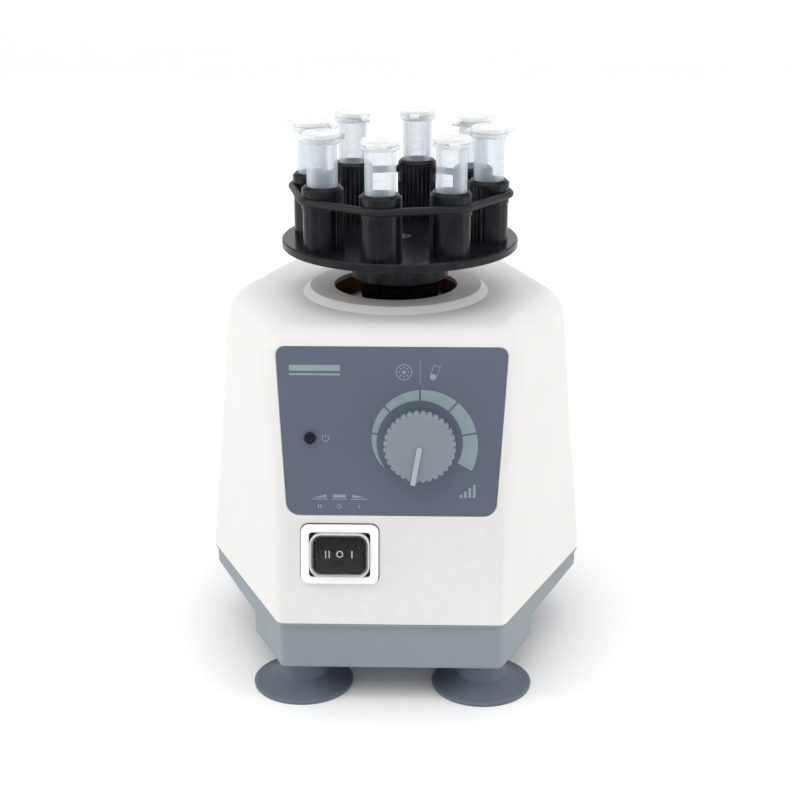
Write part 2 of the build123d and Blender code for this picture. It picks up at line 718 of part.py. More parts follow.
# ---- drive electronics ----------------------------------------------------------------------
BOARD_FRONT = FACE.offset(-WALL - 8)
BOARD_REAR = FACE.offset(-WALL - 9.6)
with BuildPart() as control_board:
    with BuildSketch(BOARD_REAR):
        with Locations((0, 65)):
            Rectangle(74, 54)
    extrude(amount=1.6)
    # film capacitor, relay, heat sink and terminal block on the inner side
    with BuildSketch(BOARD_REAR.offset(-6)):
        with Locations((-20, 50)):
            Rectangle(13, 8)
        with Locations((4, 50)):
            Rectangle(10, 12)
        with Locations((26, 52)):
            Rectangle(9, 15)
    extrude(amount=6)
    with BuildSketch(BOARD_REAR.offset(-4.5)):
        with Locations((-22, 84), (-10, 84)):
            Circle(4.0)
        with Locations((22, 84)):
            Rectangle(12, 5)
    extrude(amount=4.5)
control_board.part.label = "control_board"
export_step(control_board.part, "parts/control_board.step")

# ---- opening trim ---------------------------------------------------------------------------
with BuildPart() as opening_liner:
    ring(122.2, 132.5, 26.0, 23.9)
opening_liner.part.label = "opening_liner"
export_step(opening_liner.part, "parts/opening_liner.step")

# ---- orbital head ---------------------------------------------------------------------------
with BuildPart() as head_post:
    with BuildSketch(Plane.XZ):
        Polygon(
            (11.0, 118.0), (28.0, 118.0), (28.0, 121.0), (14.0, 121.0), (14.0, 127.6), (19.0, 128.0),
            (19.0, 129.2), (14.0, 130.2), (14.0, 135.5), (17.5, 138.0), (17.5, 149.0), (0, 149.0),
            (0, 141.0), (11.0, 141.0),
            align=None,
        )
    revolve(axis=Axis.Z)
    with Locations((0, 0, 118)):
        with PolarLocations(22, 4):
            Cylinder(3.9, 3, align=UP, mode=Mode.SUBTRACT)
    with Locations((0, 0, 139.5)):
        Cylinder(1.9, 12, align=UP, mode=Mode.SUBTRACT)
placed_post = Pos(ECC, 0, 0) * head_post.part
placed_post.label = "head_post"
export_step(placed_post, "parts/head_post.step")

with BuildPart() as platform_plate:
    with Locations((ECC, 0, PLATE_TOP - 3)):
        Cylinder(PLATE_R, 3, align=UP)
    chamfer(platform_plate.faces().sort_by(Axis.Z)[-1].edges(), 0.5)
    chamfer(platform_plate.faces().sort_by(Axis.Z)[0].edges(), 0.3)
    with Locations((ECC, 0, PLATE_TOP - 3)):
        Cylinder(1.9, 3, align=UP, mode=Mode.SUBTRACT)
    with Locations((ECC, 0, PLATE_TOP - 2.2)):
        Cone(1.9, 4.1, 2.2, align=UP, mode=Mode.SUBTRACT)
platform_plate.part.label = "platform_plate"
export_step(platform_plate.part, "parts/platform_plate.step")

with BuildPart() as platform_screw:
    with Locations((ECC, 0, 142.0)):
        Cylinder(1.8, 8.5, align=UP)
    with Locations((ECC, 0, PLATE_TOP - 2.2)):
        Cone(1.8, 3.9, 2.1, align=UP)
    with Locations((ECC, 0, PLATE_TOP - 1.3)):
        Box(4.6, 0.9, 1.2, align=UP, mode=Mode.SUBTRACT)
        Box(0.9, 4.6, 1.2, align=UP, mode=Mode.SUBTRACT)
platform_screw.part.label = "platform_screw"
export_step(platform_screw.part, "parts/platform_screw.step")

SLEEVES = []
for k in range(8):
    angle = radians(SLEEVE_START + 45 * k)
    SLEEVES.append((ECC + PITCH_R * cos(angle), PITCH_R * sin(angle)))

with BuildSketch(Plane.XY.offset(BAND_Z)) as band_plan:
    with Locations((ECC, 0)):
        RegularPolygon(PITCH_R, 8, rotation=SLEEVE_START)
    offset(amount=BAND_OUT)
band_path = band_plan.sketch.faces()[0].outer_wire()

with BuildPart() as band_groove:
    with BuildSketch(Plane(origin=band_path @ 0, z_dir=band_path % 0)):
        Circle(BAND_R + 0.05)
    sweep(path=band_path)

with BuildPart() as tube_sleeves:
    for x, y in SLEEVES:
        with Locations((x, y, PLATE_TOP)):
            Cylinder(SLEEVE_R - 0.15, SLEEVE_TOP - PLATE_TOP - 8, align=UP)
        with Locations((x, y, SLEEVE_TOP - 8)):
            Cylinder(SLEEVE_R + 0.15, 7, align=UP)
        with Locations((x, y, SLEEVE_TOP - 1)):
            Cone(SLEEVE_R + 0.15, SLEEVE_R - 0.9, 1, align=UP)
        with Locations((x, y, PLATE_TOP)):
            Cylinder(SLEEVE_BORE, 30, align=UP, mode=Mode.SUBTRACT)
    add(band_groove.part, mode=Mode.SUBTRACT)
tube_sleeves.part.label = "tube_sleeves"
export_step(tube_sleeves.part, "parts/tube_sleeves.step")

with BuildPart() as retaining_band:
    with BuildSketch(Plane(origin=band_path @ 0, z_dir=band_path % 0)):
        Circle(BAND_R)
    sweep(path=band_path)
retaining_band.part.label = "retaining_band"
export_step(retaining_band.part, "parts/retaining_band.step")

# ---- microtubes -----------------------------------------------------------------------------
with BuildPart() as tube_shape:
    with BuildSketch(Plane.XZ):
        Polygon(
            (0, TUBE_FOOT), (1.2, TUBE_FOOT), (2.2, TUBE_FOOT + 0.9), (TUBE_R, TUBE_FOOT + 17.5),
            (TUBE_R, RIM_TOP - 1.7), (RIM_R, RIM_TOP - 1.5), (RIM_R, RIM_TOP), (4.5, RIM_TOP),
            (4.5, TUBE_FOOT + 18.0), (1.4, TUBE_FOOT + 1.8), (0, TUBE_FOOT + 1.3),
            align=None,
        )
    revolve(axis=Axis.Z)
    with Locations((RIM_R - 0.4, 0, RIM_TOP - 1.4)):
        Box(1.9, 4.2, 1.2, align=UP)

with BuildPart() as lid_shape:
    with BuildSketch(Plane.XZ):
        Polygon(
            (0, LID_LOW), (3.3, LID_LOW), (3.3, LID_LOW - 2.3), (3.7, LID_LOW - 2.3),
            (4.15, LID_LOW - 1.8), (4.15, LID_LOW), (RIM_R, LID_LOW), (RIM_R, LID_TOP - 0.3),
            (RIM_R - 0.3, LID_TOP), (5.2, LID_TOP), (4.8, LID_TOP - 0.4), (0, LID_TOP - 0.4),
            align=None,
        )
    revolve(axis=Axis.Z)
    with BuildSketch(Plane.XY.offset(LID_LOW)) as tab:
        with Locations((-6.0, 0)):
            Rectangle(7.7, 7.4)
        fillet(tab.vertices().sort_by(Axis.X)[:2], 3.0)
        Circle(5.0, mode=Mode.SUBTRACT)
    extrude(amount=1.0)
    with Locations((7.3, 0, LID_LOW)):
        Box(1.8, 3.6, 0.8, align=UP)
    with Locations((HINGE_R, 0, HINGE_Z)):
        Box(0.9, 3.6, 1.4, align=UP)
        Cylinder(0.7, 3.6, rotation=(90, 0, 0))

for k, (x, y) in enumerate(SLEEVES):
    place = Pos(x, y, 0) * Rot(0, 0, HINGE_DIRECTIONS[k])
    tube = place * tube_shape.part
    tube.label = f"tube_{k + 1}"
    export_step(tube, f"parts/tube_{k + 1}.step")
    lid = place * lid_shape.part
    lid.label = f"lid_{k + 1}"
    export_step(lid, f"parts/lid_{k + 1}.step")
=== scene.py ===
"""Bench vortex mixer with eight capped microtubes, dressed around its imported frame."""

import math

import bmesh
import bpy
from bpy.props import (
    FloatProperty,
    FloatVectorProperty,
    IntProperty,
    PointerProperty,
)
from mathutils import Matrix, Vector


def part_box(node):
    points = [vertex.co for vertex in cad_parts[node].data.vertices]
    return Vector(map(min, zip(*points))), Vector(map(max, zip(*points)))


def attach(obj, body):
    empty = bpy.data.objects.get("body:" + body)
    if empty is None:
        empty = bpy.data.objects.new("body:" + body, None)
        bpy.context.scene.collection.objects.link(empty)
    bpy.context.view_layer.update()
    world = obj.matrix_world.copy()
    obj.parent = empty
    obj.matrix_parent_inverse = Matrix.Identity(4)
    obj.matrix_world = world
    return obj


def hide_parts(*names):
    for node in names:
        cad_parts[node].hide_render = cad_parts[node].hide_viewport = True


bl_info = {
    "name": "Bench Vortex Mixer",
    "version": (1, 0, 0),
    "blender": (4, 5, 0),
    "location": "View3D > Sidebar > Mixer",
    "description": "Dresses the vortex mixer frame with its finishes and fine shapes",
    "category": "Object",
}

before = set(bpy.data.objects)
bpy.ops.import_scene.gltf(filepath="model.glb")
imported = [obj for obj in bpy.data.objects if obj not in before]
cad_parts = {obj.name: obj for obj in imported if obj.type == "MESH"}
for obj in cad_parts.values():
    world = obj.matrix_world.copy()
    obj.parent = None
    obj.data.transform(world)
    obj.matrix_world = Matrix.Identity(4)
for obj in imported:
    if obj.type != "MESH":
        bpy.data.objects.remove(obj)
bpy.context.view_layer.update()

# Control face: origin at the split line, across, up the slope and outward directions.
LEAN = math.radians(9.35)
FACE_ORIGIN = Vector((0.0, -0.0681, 0.031))
FACE_ACROSS = Vector((1.0, 0.0, 0.0))
FACE_UP = Vector((0.0, math.sin(LEAN), math.cos(LEAN)))
FACE_OUT = Vector((0.0, -math.cos(LEAN), math.sin(LEAN)))
FILM_LEVEL = -0.0003
KNOB_CENTRE = (0.0096, 0.0648)
SWITCH_CENTRE = (-0.0176, 0.0251)

# Head: its axis, the ring of sleeves, and the direction in degrees of each lid's strap.
HEAD_X = 0.0015
TUBE_COUNT = 8
PITCH_RADIUS = 0.032
FIRST_SLEEVE = math.radians(-100.5)
LID_DIRECTIONS = (83.0, -84.0, 173.0, 218.0, 263.0, 308.0, 353.0, 38.0)
TUBE_RIM_RADIUS = 0.0066
TUBE_RIM_TOP = 0.1905

# Camera: lens and sensor in millimetres, then its turn, tilt and place.
CAMERA_LENS = 71.7
CAMERA_SENSOR = 36.0
CAMERA_TURN = math.radians(1.31)
CAMERA_TILT = math.radians(19.36)
CAMERA_SIDE = -0.00156
CAMERA_SHIFT = 0.0031
CAMERA_RISE = 0.2864
LIGHT_TARGET = Vector((0.0, 0.0, 0.11))


# ---------------------------------------------------------------------------------------------
# settings
# ---------------------------------------------------------------------------------------------
def colour(name, description, value):
    return FloatVectorProperty(
        name=name, description=description, subtype="COLOR", size=3, min=0.0, max=1.0, default=value
    )


class MixerColours(bpy.types.PropertyGroup):
    """Base colours of the finishes."""

    housing: colour("Housing", "Warm white moulding", (0.725, 0.716, 0.70))
    tray: colour("Tray", "Blue grey moulding", (0.238, 0.277, 0.305))
    feet: colour("Feet", "Slate rubber", (0.108, 0.132, 0.165))
    film: colour("Film", "Printed film on the control face", (0.102, 0.122, 0.166))
    print_pale: colour("Print", "Pale printing on the film", (0.255, 0.335, 0.345))
    knob: colour("Knob", "Speed knob", (0.212, 0.248, 0.276))
    pointer: colour("Pointer", "Raised pointer of the knob", (0.36, 0.40, 0.44))
    head: colour("Head", "Near black head, plate and sleeves", (0.0042, 0.0047, 0.0075))
    band: colour("Band", "Elastic band round the sleeves", (0.011, 0.011, 0.013))
    tube: colour("Tube", "Translucent microtube", (0.74, 0.82, 0.89))
    lid: colour("Lid", "Translucent microtube lid", (0.93, 0.94, 0.93))
    bezel: colour("Bezel", "White frame of the switch", (0.955, 0.955, 0.96))
    liner: colour("Liner", "Brown liner inside the housing opening", (0.20, 0.075, 0.03))


class MixerShape(bpy.types.PropertyGroup):
    """Sizes of the fine shapes."""

    print_thickness: FloatProperty(
        name="Print thickness", description="Height of the ink on the film",
        default=0.00003, min=0.0, subtype="DISTANCE", unit="LENGTH",
    )
    knob_radius: FloatProperty(
        name="Knob radius", description="Radius at the tips of the knob's teeth",
        default=0.0121, min=0.001, subtype="DISTANCE", unit="LENGTH",
    )
    knob_teeth: IntProperty(name="Knob teeth", description="Teeth round the knob", default=32, min=6)
    tube_radius: FloatProperty(
        name="Tube radius", description="Outer radius of a microtube",
        default=0.00535, min=0.001, subtype="DISTANCE", unit="LENGTH",
    )
    camera_distance: FloatProperty(
        name="Camera distance", description="Level distance from the motor axis to the camera",
        default=0.5612, min=0.1, subtype="DISTANCE", unit="LENGTH",
    )


def colours():
    return bpy.context.scene.mixer_colours


def shape():
    return bpy.context.scene.mixer_shape


# ---------------------------------------------------------------------------------------------
# finishes
# ---------------------------------------------------------------------------------------------
class Finish:
    """A node material under construction: one principled shader fed by object coordinates."""

    def __init__(self, name, roughness=0.5, metallic=0.0, specular=0.5):
        self.material = bpy.data.materials.new(name)
        self.material.use_nodes = True
        self.tree = self.material.node_tree
        self.shader = self.tree.nodes["Principled BSDF"]
        self.shader.inputs["Roughness"].default_value = roughness
        self.shader.inputs["Metallic"].default_value = metallic
        self.shader.inputs["Specular IOR Level"].default_value = specular
        self.place = self.add("ShaderNodeTexCoord").outputs["Object"]
        self.last_normal = None

    def add(self, kind, **settings):
        node = self.tree.nodes.new(kind)
        for key, value in settings.items():
            setattr(node, key, value)
        return node

    def link(self, source, target):
        self.tree.links.new(source, target)

    def noise(self, scale, detail=3.0, roughness=0.5, vector=None):
        node = self.add("ShaderNodeTexNoise")
        node.inputs["Scale"].default_value = scale
        node.inputs["Detail"].default_value = detail
        node.inputs["Roughness"].default_value = roughness
        self.link(vector or self.place, node.inputs["Vector"])
        return node.outputs["Fac"]

    def stretched(self, scale):
        """Object coordinates scaled along each axis."""
        node = self.add("ShaderNodeMapping")
        node.inputs["Scale"].default_value = scale
        self.link(self.place, node.inputs["Vector"])
        return node.outputs["Vector"]

    def wave(self, scale, distortion=0.0, **settings):
        node = self.add("ShaderNodeTexWave", **settings)
        node.inputs["Scale"].default_value = scale
        node.inputs["Distortion"].default_value = distortion
        self.link(self.place, node.inputs["Vector"])
        return node.outputs["Fac"]

    def span(self, source, low, high, start=0.0, stop=1.0):
        """Map a value from start..stop onto low..high."""
        node = self.add("ShaderNodeMapRange")
        node.inputs["From Min"].default_value = start
        node.inputs["From Max"].default_value = stop
        node.inputs["To Min"].default_value = low
        node.inputs["To Max"].default_value = high
        self.link(source, node.inputs["Value"])
        return node.outputs["Result"]

    def math(self, operation, a, b=None):
        node = self.add("ShaderNodeMath", operation=operation)
        for socket, value in zip(node.inputs, (a, b)):
            if value is None:
                continue
            if isinstance(value, (int, float)):
                socket.default_value = value
            else:
                self.link(value, socket)
        return node.outputs[0]

    def mix(self, factor, first, second):
        node = self.add("ShaderNodeMix", data_type="RGBA")
        factor_socket, first_socket, second_socket = node.inputs[0], node.inputs[6], node.inputs[7]
        for socket, value in ((factor_socket, factor), (first_socket, first), (second_socket, second)):
            if isinstance(value, (int, float, tuple, list)):
                socket.default_value = value
            else:
                self.link(value, socket)
        return node.outputs[2]

    def bump(self, height, strength, distance):
        node = self.add("ShaderNodeBump")
        node.inputs["Strength"].default_value = strength
        node.inputs["Distance"].default_value = distance
        self.link(height, node.inputs["Height"])
        if self.last_normal is not None:
            self.link(self.last_normal, node.inputs["Normal"])
        self.last_normal = node.outputs["Normal"]
        self.link(self.last_normal, self.shader.inputs["Normal"])

    def mottle(self, base, amount, scale):
        """Base colour that drifts slightly lighter and darker over the piece."""
        base = tuple(base)
        dark = tuple(c * (1.0 - amount) for c in base) + (1.0,)
        light = tuple(min(1.0, c * (1.0 + amount)) for c in base) + (1.0,)
        drift = self.span(self.noise(scale, 2.0), 0.0, 1.0, 0.3, 0.7)
        out = self.mix(drift, dark, light)
        self.link(out, self.shader.inputs["Base Color"])
        return out

    def uneven_gloss(self, low, high, scale):
        """Roughness that drifts between two values."""
        drift = self.span(self.noise(scale, 4.0), low, high, 0.3, 0.7)
        self.link(drift, self.shader.inputs["Roughness"])

    def edge_wear_and_highlight(self, base, tint, amount):
        """Slightly paler convex edges: partly rubbed wear, partly a painted edge highlight."""
        point = self.add("ShaderNodeNewGeometry").outputs["Pointiness"]
        ridge = self.span(point, 0.0, amount, 0.52, 0.60)
        patch = self.span(self.noise(260.0, 4.0), 0.2, 1.0, 0.35, 0.65)
        out = self.mix(self.math("MULTIPLY", ridge, patch), base, tuple(tint) + (1.0,))
        self.link(out, self.shader.inputs["Base Color"])


def moulding(name, base, low, high, grain=1500.0, strength=0.10, specular=0.4):
    """Injection moulded plastic with a fine spark-eroded texture."""
    finish = Finish(name, specular=specular)
    out = finish.mottle(base, 0.018, 14.0)
    # paler convex edges: partly wear, partly a painted edge highlight
    finish.edge_wear_and_highlight(out, tuple(min(1.0, c * 1.12) for c in base), 0.35)
    finish.uneven_gloss(low, high, 70.0)
    finish.bump(finish.noise(grain, 3.0, 0.6), strength, 0.00004)
    finish.bump(finish.noise(30.0, 2.0), 0.05, 0.0002)
    return finish


def rubber(name, base, low=0.5, high=0.66, specular=0.4):
    """Moulded rubber with a little pale dust in its grain."""
    finish = Finish(name, specular=specular)
    out = finish.mottle(base, 0.06, 40.0)
    dust = finish.span(finish.noise(420.0, 5.0, 0.7), 0.0, 0.05, 0.55, 0.8)
    pale = tuple(0.5 * c + 0.22 for c in base) + (1.0,)
    finish.link(finish.mix(dust, out, pale), finish.shader.inputs["Base Color"])
    finish.uneven_gloss(low, high, 120.0)
    finish.bump(finish.noise(1100.0, 4.0, 0.6), 0.16, 0.00005)
    return finish


# Grain of a metal along each axis: lines round a turned piece, or none.
TURNED = (1.0, 1.0, 40.0)
EVEN = (1.0, 1.0, 1.0)


def metal(name, base, low=0.24, high=0.36, along=TURNED):
    """Machined metal with fine lines across the stretched direction."""
    finish = Finish(name, metallic=1.0)
    finish.mottle(base, 0.05, 60.0)
    lines = finish.noise(320.0, 3.0, 0.6, finish.stretched(along))
    finish.link(finish.span(lines, low, high, 0.3, 0.7), finish.shader.inputs["Roughness"])
    finish.bump(lines, 0.12, 0.00003)
    return finish


def ink(name, base):
    """Screen printed ink: matt, a little uneven in coverage."""
    finish = Finish(name, specular=0.3)
    out = finish.mottle(base, 0.05, 300.0)
    pin = finish.span(finish.noise(2600.0, 2.0), 0.0, 0.25, 0.62, 0.8)
    thin = tuple(c * 0.6 for c in base) + (1.0,)
    finish.link(finish.mix(pin, out, thin), finish.shader.inputs["Base Color"])
    finish.uneven_gloss(0.42, 0.55, 500.0)
    finish.bump(finish.noise(2200.0, 2.0), 0.06, 0.00002)
    return finish


def polypropylene(name, base, alpha_low, alpha_high, low, high):
    """Frosted translucent polypropylene: milky, denser where the wall is seen edge on."""
    finish = Finish(name, specular=0.5)
    finish.mottle(base, 0.02, 120.0)
    facing = finish.add("ShaderNodeLayerWeight")
    facing.inputs["Blend"].default_value = 0.35
    density = finish.span(facing.outputs["Facing"], alpha_low, alpha_high)
    finish.link(density, finish.shader.inputs["Alpha"])
    finish.uneven_gloss(low, high, 260.0)
    finish.bump(finish.noise(420.0, 2.0), 0.05, 0.00003)
    finish.shader.inputs["Subsurface Weight"].default_value = 0.25
    finish.shader.inputs["Subsurface Radius"].default_value = (0.004, 0.004, 0.004)
    return finish


def clad(names, finish):
    """Give kept frame nodes a finish."""
    for name in names:
        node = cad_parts[name]
        node.data.materials.clear()
        node.data.materials.append(finish.material)


# ---------------------------------------------------------------------------------------------
# shapes
# ---------------------------------------------------------------------------------------------
def publish(name, mesh_data, finish, body, replaces=(), smooth_angle=40.0):
    """Link a finished mesh into the scene and tie it to its body."""
    piece = bpy.data.objects.new(name, mesh_data)
    bpy.context.scene.collection.objects.link(piece)
    mesh_data.materials.append(finish.material)
    for polygon in mesh_data.polygons:
        polygon.use_smooth = True
    mesh_data.set_sharp_from_angle(angle=math.radians(smooth_angle))
    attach(piece, body)
    if replaces:
        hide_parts(*replaces)


def new_mesh(name, bm):
    """Turn finished mesh data into a named mesh with its faces outward."""
    bmesh.ops.recalc_face_normals(bm, faces=bm.faces)
    mesh_data = bpy.data.meshes.new(name)
    bm.to_mesh(mesh_data)
    bm.free()
    return mesh_data


def soften(profile, passes=2):
    """Round an open profile by repeated corner cutting; the ends stay."""
    for _ in range(passes):
        finer = [profile[0]]
        for (r0, z0), (r1, z1) in zip(profile, profile[1:]):
            finer.append((0.75 * r0 + 0.25 * r1, 0.75 * z0 + 0.25 * z1))
            finer.append((0.25 * r0 + 0.75 * r1, 0.25 * z0 + 0.75 * z1))
        finer.append(profile[-1])
        profile = finer
    return profile


def lathe(bm, profile, segments=72, centre=(0.0, 0.0), turn=None):
    """Revolve (radius, height) points about a vertical line; ends on the axis are closed."""
    rings = []
    place = turn or Matrix.Translation((centre[0], centre[1], 0.0))
    for radius, height in profile:
        if radius < 1e-7:
            rings.append([bm.verts.new(place @ Vector((0.0, 0.0, height)))])
            continue
        ring = []
        for k in range(segments):
            a = 2.0 * math.pi * k / segments
            x, y = radius * math.cos(a), radius * math.sin(a)
            ring.append(bm.verts.new(place @ Vector((x, y, height))))
        rings.append(ring)
    for low, high in zip(rings, rings[1:]):
        for k in range(segments):
            n = (k + 1) % segments
            if len(low) == 1 and len(high) > 1:
                bm.faces.new((low[0], high[k], high[n]))
            elif len(high) == 1 and len(low) > 1:
                bm.faces.new((low[k], low[n], high[0]))
            elif len(low) > 1 and len(high) > 1:
                bm.faces.new((low[k], low[n], high[n], high[k]))


def face_point(across, up, out):
    return FACE_ORIGIN + FACE_ACROSS * across + FACE_UP * up + FACE_OUT * out


def face_matrix(across, up, out):
    """Placement whose local X, Y, Z are the control face's across, up and outward directions."""
    turned = Matrix((FACE_ACROSS, FACE_UP, FACE_OUT)).transposed().to_4x4()
    return Matrix.Translation(face_point(across, up, out)) @ turned


def sleeve_axis(k):
    """Direction of a sleeve from the head's axis, and the placement of its own axis."""
    a = FIRST_SLEEVE + 2.0 * math.pi * k / TUBE_COUNT
    x, y = HEAD_X + PITCH_RADIUS * math.cos(a), PITCH_RADIUS * math.sin(a)
    return a, Matrix.Translation((x, y, 0.0))


def sleeve_place(k):
    """Placement on a sleeve's axis whose local X points at the strap of its lid."""
    return sleeve_axis(k)[1] @ Matrix.Rotation(math.radians(LID_DIRECTIONS[k]), 4, "Z")


def prism(bm, outline, place, low, high):
    """A flat plate from an outline of local (x, y) points, between two local heights."""
    bottom = [bm.verts.new(place @ Vector((x, y, low))) for x, y in outline]
    top = [bm.verts.new(place @ Vector((x, y, high))) for x, y in outline]
    count = len(outline)
    for k in range(count):
        n = (k + 1) % count
        bm.faces.new((bottom[k], bottom[n], top[n], top[k]))
    bm.faces.new(top)
    bm.faces.new(list(reversed(bottom)))


def band_strip(bm, inner, outer, place, low, high):
    """A flat strip between two lines of equal length."""
    count = len(inner)
    grid = [
        [bm.verts.new(place @ Vector((x, y, z))) for x, y in line]
        for z in (low, high)
        for line in (inner, outer)
    ]
    inner_low, outer_low, inner_high, outer_high = grid
    for k in range(count - 1):
        bm.faces.new((inner_high[k], inner_high[k + 1], outer_high[k + 1], outer_high[k]))
        bm.faces.new((inner_low[k], outer_low[k], outer_low[k + 1], inner_low[k + 1]))
        bm.faces.new((inner_low[k], inner_low[k + 1], inner_high[k + 1], inner_high[k]))
        bm.faces.new((outer_low[k], outer_high[k], outer_high[k + 1], outer_low[k + 1]))
    for k in (0, count - 1):
        bm.faces.new((inner_low[k], inner_high[k], outer_high[k], outer_low[k]))


def circle_points(cx, cy, radius, count=40, start=0.0, stop=2.0 * math.pi, closed=True):
    steps = count if closed else count - 1
    return [
        (cx + radius * math.cos(start + (stop - start) * k / steps),
         cy + radius * math.sin(start + (stop - start) * k / steps))
        for k in range(count)
    ]


def ring_print(bm, cx, cy, r_in, r_out, place, low, high, count=48):
    """A flat closed ring."""
    inner = circle_points(cx, cy, r_in, count)
    outer = circle_points(cx, cy, r_out, count)
    band_strip(bm, inner + inner[:1], outer + outer[:1], place, low, high)


def rounded_rectangle(width, height, radius, per_corner=8):
    """Closed outline about the origin."""
    points = []
    for k, (sx, sy) in enumerate(((1, 1), (-1, 1), (-1, -1), (1, -1))):
        cx, cy = sx * (width / 2 - radius), sy * (height / 2 - radius)
        for j in range(per_corner + 1):
            a = math.pi / 2 * (k + j / per_corner)
            points.append((cx + radius * math.cos(a), cy + radius * math.sin(a)))
    return points


def stacked(bm, levels, place, close_low=True):
    """Skin a stack of equal length outlines given as (outline, height)."""
    rings = [[bm.verts.new(place @ Vector((x, y, z))) for x, y in outline] for outline, z in levels]
    for low, high in zip(rings, rings[1:]):
        for k in range(len(low)):
            n = (k + 1) % len(low)
            bm.faces.new((low[k], low[n], high[n], high[k]))
    if close_low:
        bm.faces.new(list(reversed(rings[0])))
    bm.faces.new(rings[-1])


def loop_bead(bm, outline, place, level, radius, sides=8):
    """A thin round bead that follows a closed outline at one height."""
    count = len(outline)
    rings = []
    for k, (x, y) in enumerate(outline):
        x0, y0 = outline[k - 1]
        x1, y1 = outline[(k + 1) % count]
        length = math.hypot(x1 - x0, y1 - y0)
        nx, ny = (y1 - y0) / length, (x0 - x1) / length
        ring = []
        for n in range(sides):
            a = 2.0 * math.pi * n / sides
            out, up = radius * math.cos(a), radius * math.sin(a)
            ring.append(bm.verts.new(place @ Vector((x + nx * out, y + ny * out, level + up))))
        rings.append(ring)
    for k in range(count):
        here, there = rings[k], rings[(k + 1) % count]
        for n in range(sides):
            m = (n + 1) % sides
            bm.faces.new((here[n], there[n], there[m], here[m]))


class MixerOperator:
    """Shared settings of the building operators."""

    bl_options = {"REGISTER", "UNDO"}


# ---------------------------------------------------------------------------------------------
# operators
# ---------------------------------------------------------------------------------------------
class MIXER_OT_stage(MixerOperator, bpy.types.Operator):
    """Pale floor, soft studio light and the camera"""

    bl_idname = "mixer.stage"
    bl_label = "Stage"

    def execute(self, context):
        scene = context.scene
        scene.view_settings.view_transform = "Standard"
        camera = bpy.data.objects.new("camera", bpy.data.cameras.new("camera"))
        scene.collection.objects.link(camera)
        camera.data.lens = CAMERA_LENS
        camera.data.sensor_width = CAMERA_SENSOR
        camera.data.clip_start = 0.01
        back, across, along = shape().camera_distance, math.cos(CAMERA_TURN), math.sin(CAMERA_TURN)
        camera.location = (
            CAMERA_SIDE * across + back * along + CAMERA_SHIFT,
            CAMERA_SIDE * along - back * across,
            CAMERA_RISE,
        )
        camera.rotation_euler = (math.pi / 2 - CAMERA_TILT, 0.0, CAMERA_TURN)
        scene.camera = camera

        world = bpy.data.worlds.new("studio")
        scene.world = world
        world.use_nodes = True
        sky = world.node_tree.nodes["Background"]
        sky.inputs["Color"].default_value = (0.97, 0.98, 1.0, 1.0)
        sky.inputs["Strength"].default_value = 0.56

        bm = bmesh.new()
        cove = [(0.0, 0.0), (2.9, 0.0), (3.4, 0.02), (3.8, 0.25), (4.0, 0.8), (4.0, 2.2)]
        lathe(bm, soften(cove, 2), 96)
        floor_mesh = new_mesh("floor", bm)
        floor = bpy.data.objects.new("floor", floor_mesh)
        scene.collection.objects.link(floor)
        finish = Finish("pale_floor", roughness=0.75, specular=0.2)
        finish.mottle((0.93, 0.93, 0.93), 0.004, 6.0)
        floor_mesh.materials.append(finish.material)
        for polygon in floor_mesh.polygons:
            polygon.use_smooth = True

        sun = bpy.data.lights.new("overhead_diffuser", "SUN")
        sun.energy = 1.5
        sun.color = (0.985, 0.985, 1.0)
        sun.angle = math.radians(75.0)
        sun_lamp = bpy.data.objects.new("overhead_diffuser", sun)
        scene.collection.objects.link(sun_lamp)
        sun_lamp.rotation_euler = Vector((0.10, 0.26, -1.0)).to_track_quat("-Z", "Y").to_euler()

        strips = (
            ("left_strip", (-0.85, -0.22, 0.32), (0.18, 0.8), 2.4, (1.0, 0.955, 0.88)),
            ("right_strip", (0.85, -0.18, 0.34), (0.18, 0.8), 2.3, (1.0, 0.955, 0.88)),
            ("back_softbox", (0.1, 1.0, 0.75), (0.9, 0.5), 1.6, (1.0, 1.0, 1.0)),
        )
        for name, place, size, power, tint in strips:
            data = bpy.data.lights.new(name, "AREA")
            data.shape = "RECTANGLE"
            data.size, data.size_y = size
            data.energy = power
            data.color = tint
            lamp = bpy.data.objects.new(name, data)
            scene.collection.objects.link(lamp)
            lamp.location = place
            lamp.rotation_euler = (LIGHT_TARGET - lamp.location).to_track_quat("-Z", "Y").to_euler()
        return {"FINISHED"}


class MIXER_OT_housing(MixerOperator, bpy.types.Operator):
    """Housing, tray and the liner of the housing opening"""

    bl_idname = "mixer.housing"
    bl_label = "Housing and tray"

    def execute(self, context):
        clad(["upper_housing"], moulding("housing_moulding", colours().housing, 0.40, 0.50))
        clad(["base_tray"], moulding("tray_moulding", colours().tray, 0.46, 0.56))
        liner = Finish("liner_phenolic", specular=0.4)
        out = liner.mottle(colours().liner, 0.12, 90.0)
        weave = liner.wave(380.0, 1.5, wave_type="BANDS", bands_direction="Z")
        thread = liner.span(weave, 0.0, 0.35)
        paler = tuple(c * 1.5 for c in colours().liner) + (1.0,)
        liner.link(liner.mix(thread, out, paler), liner.shader.inputs["Base Color"])
        liner.uneven_gloss(0.32, 0.48, 200.0)
        liner.bump(weave, 0.15, 0.00004)
        clad(["opening_liner"], liner)
        return {"FINISHED"}


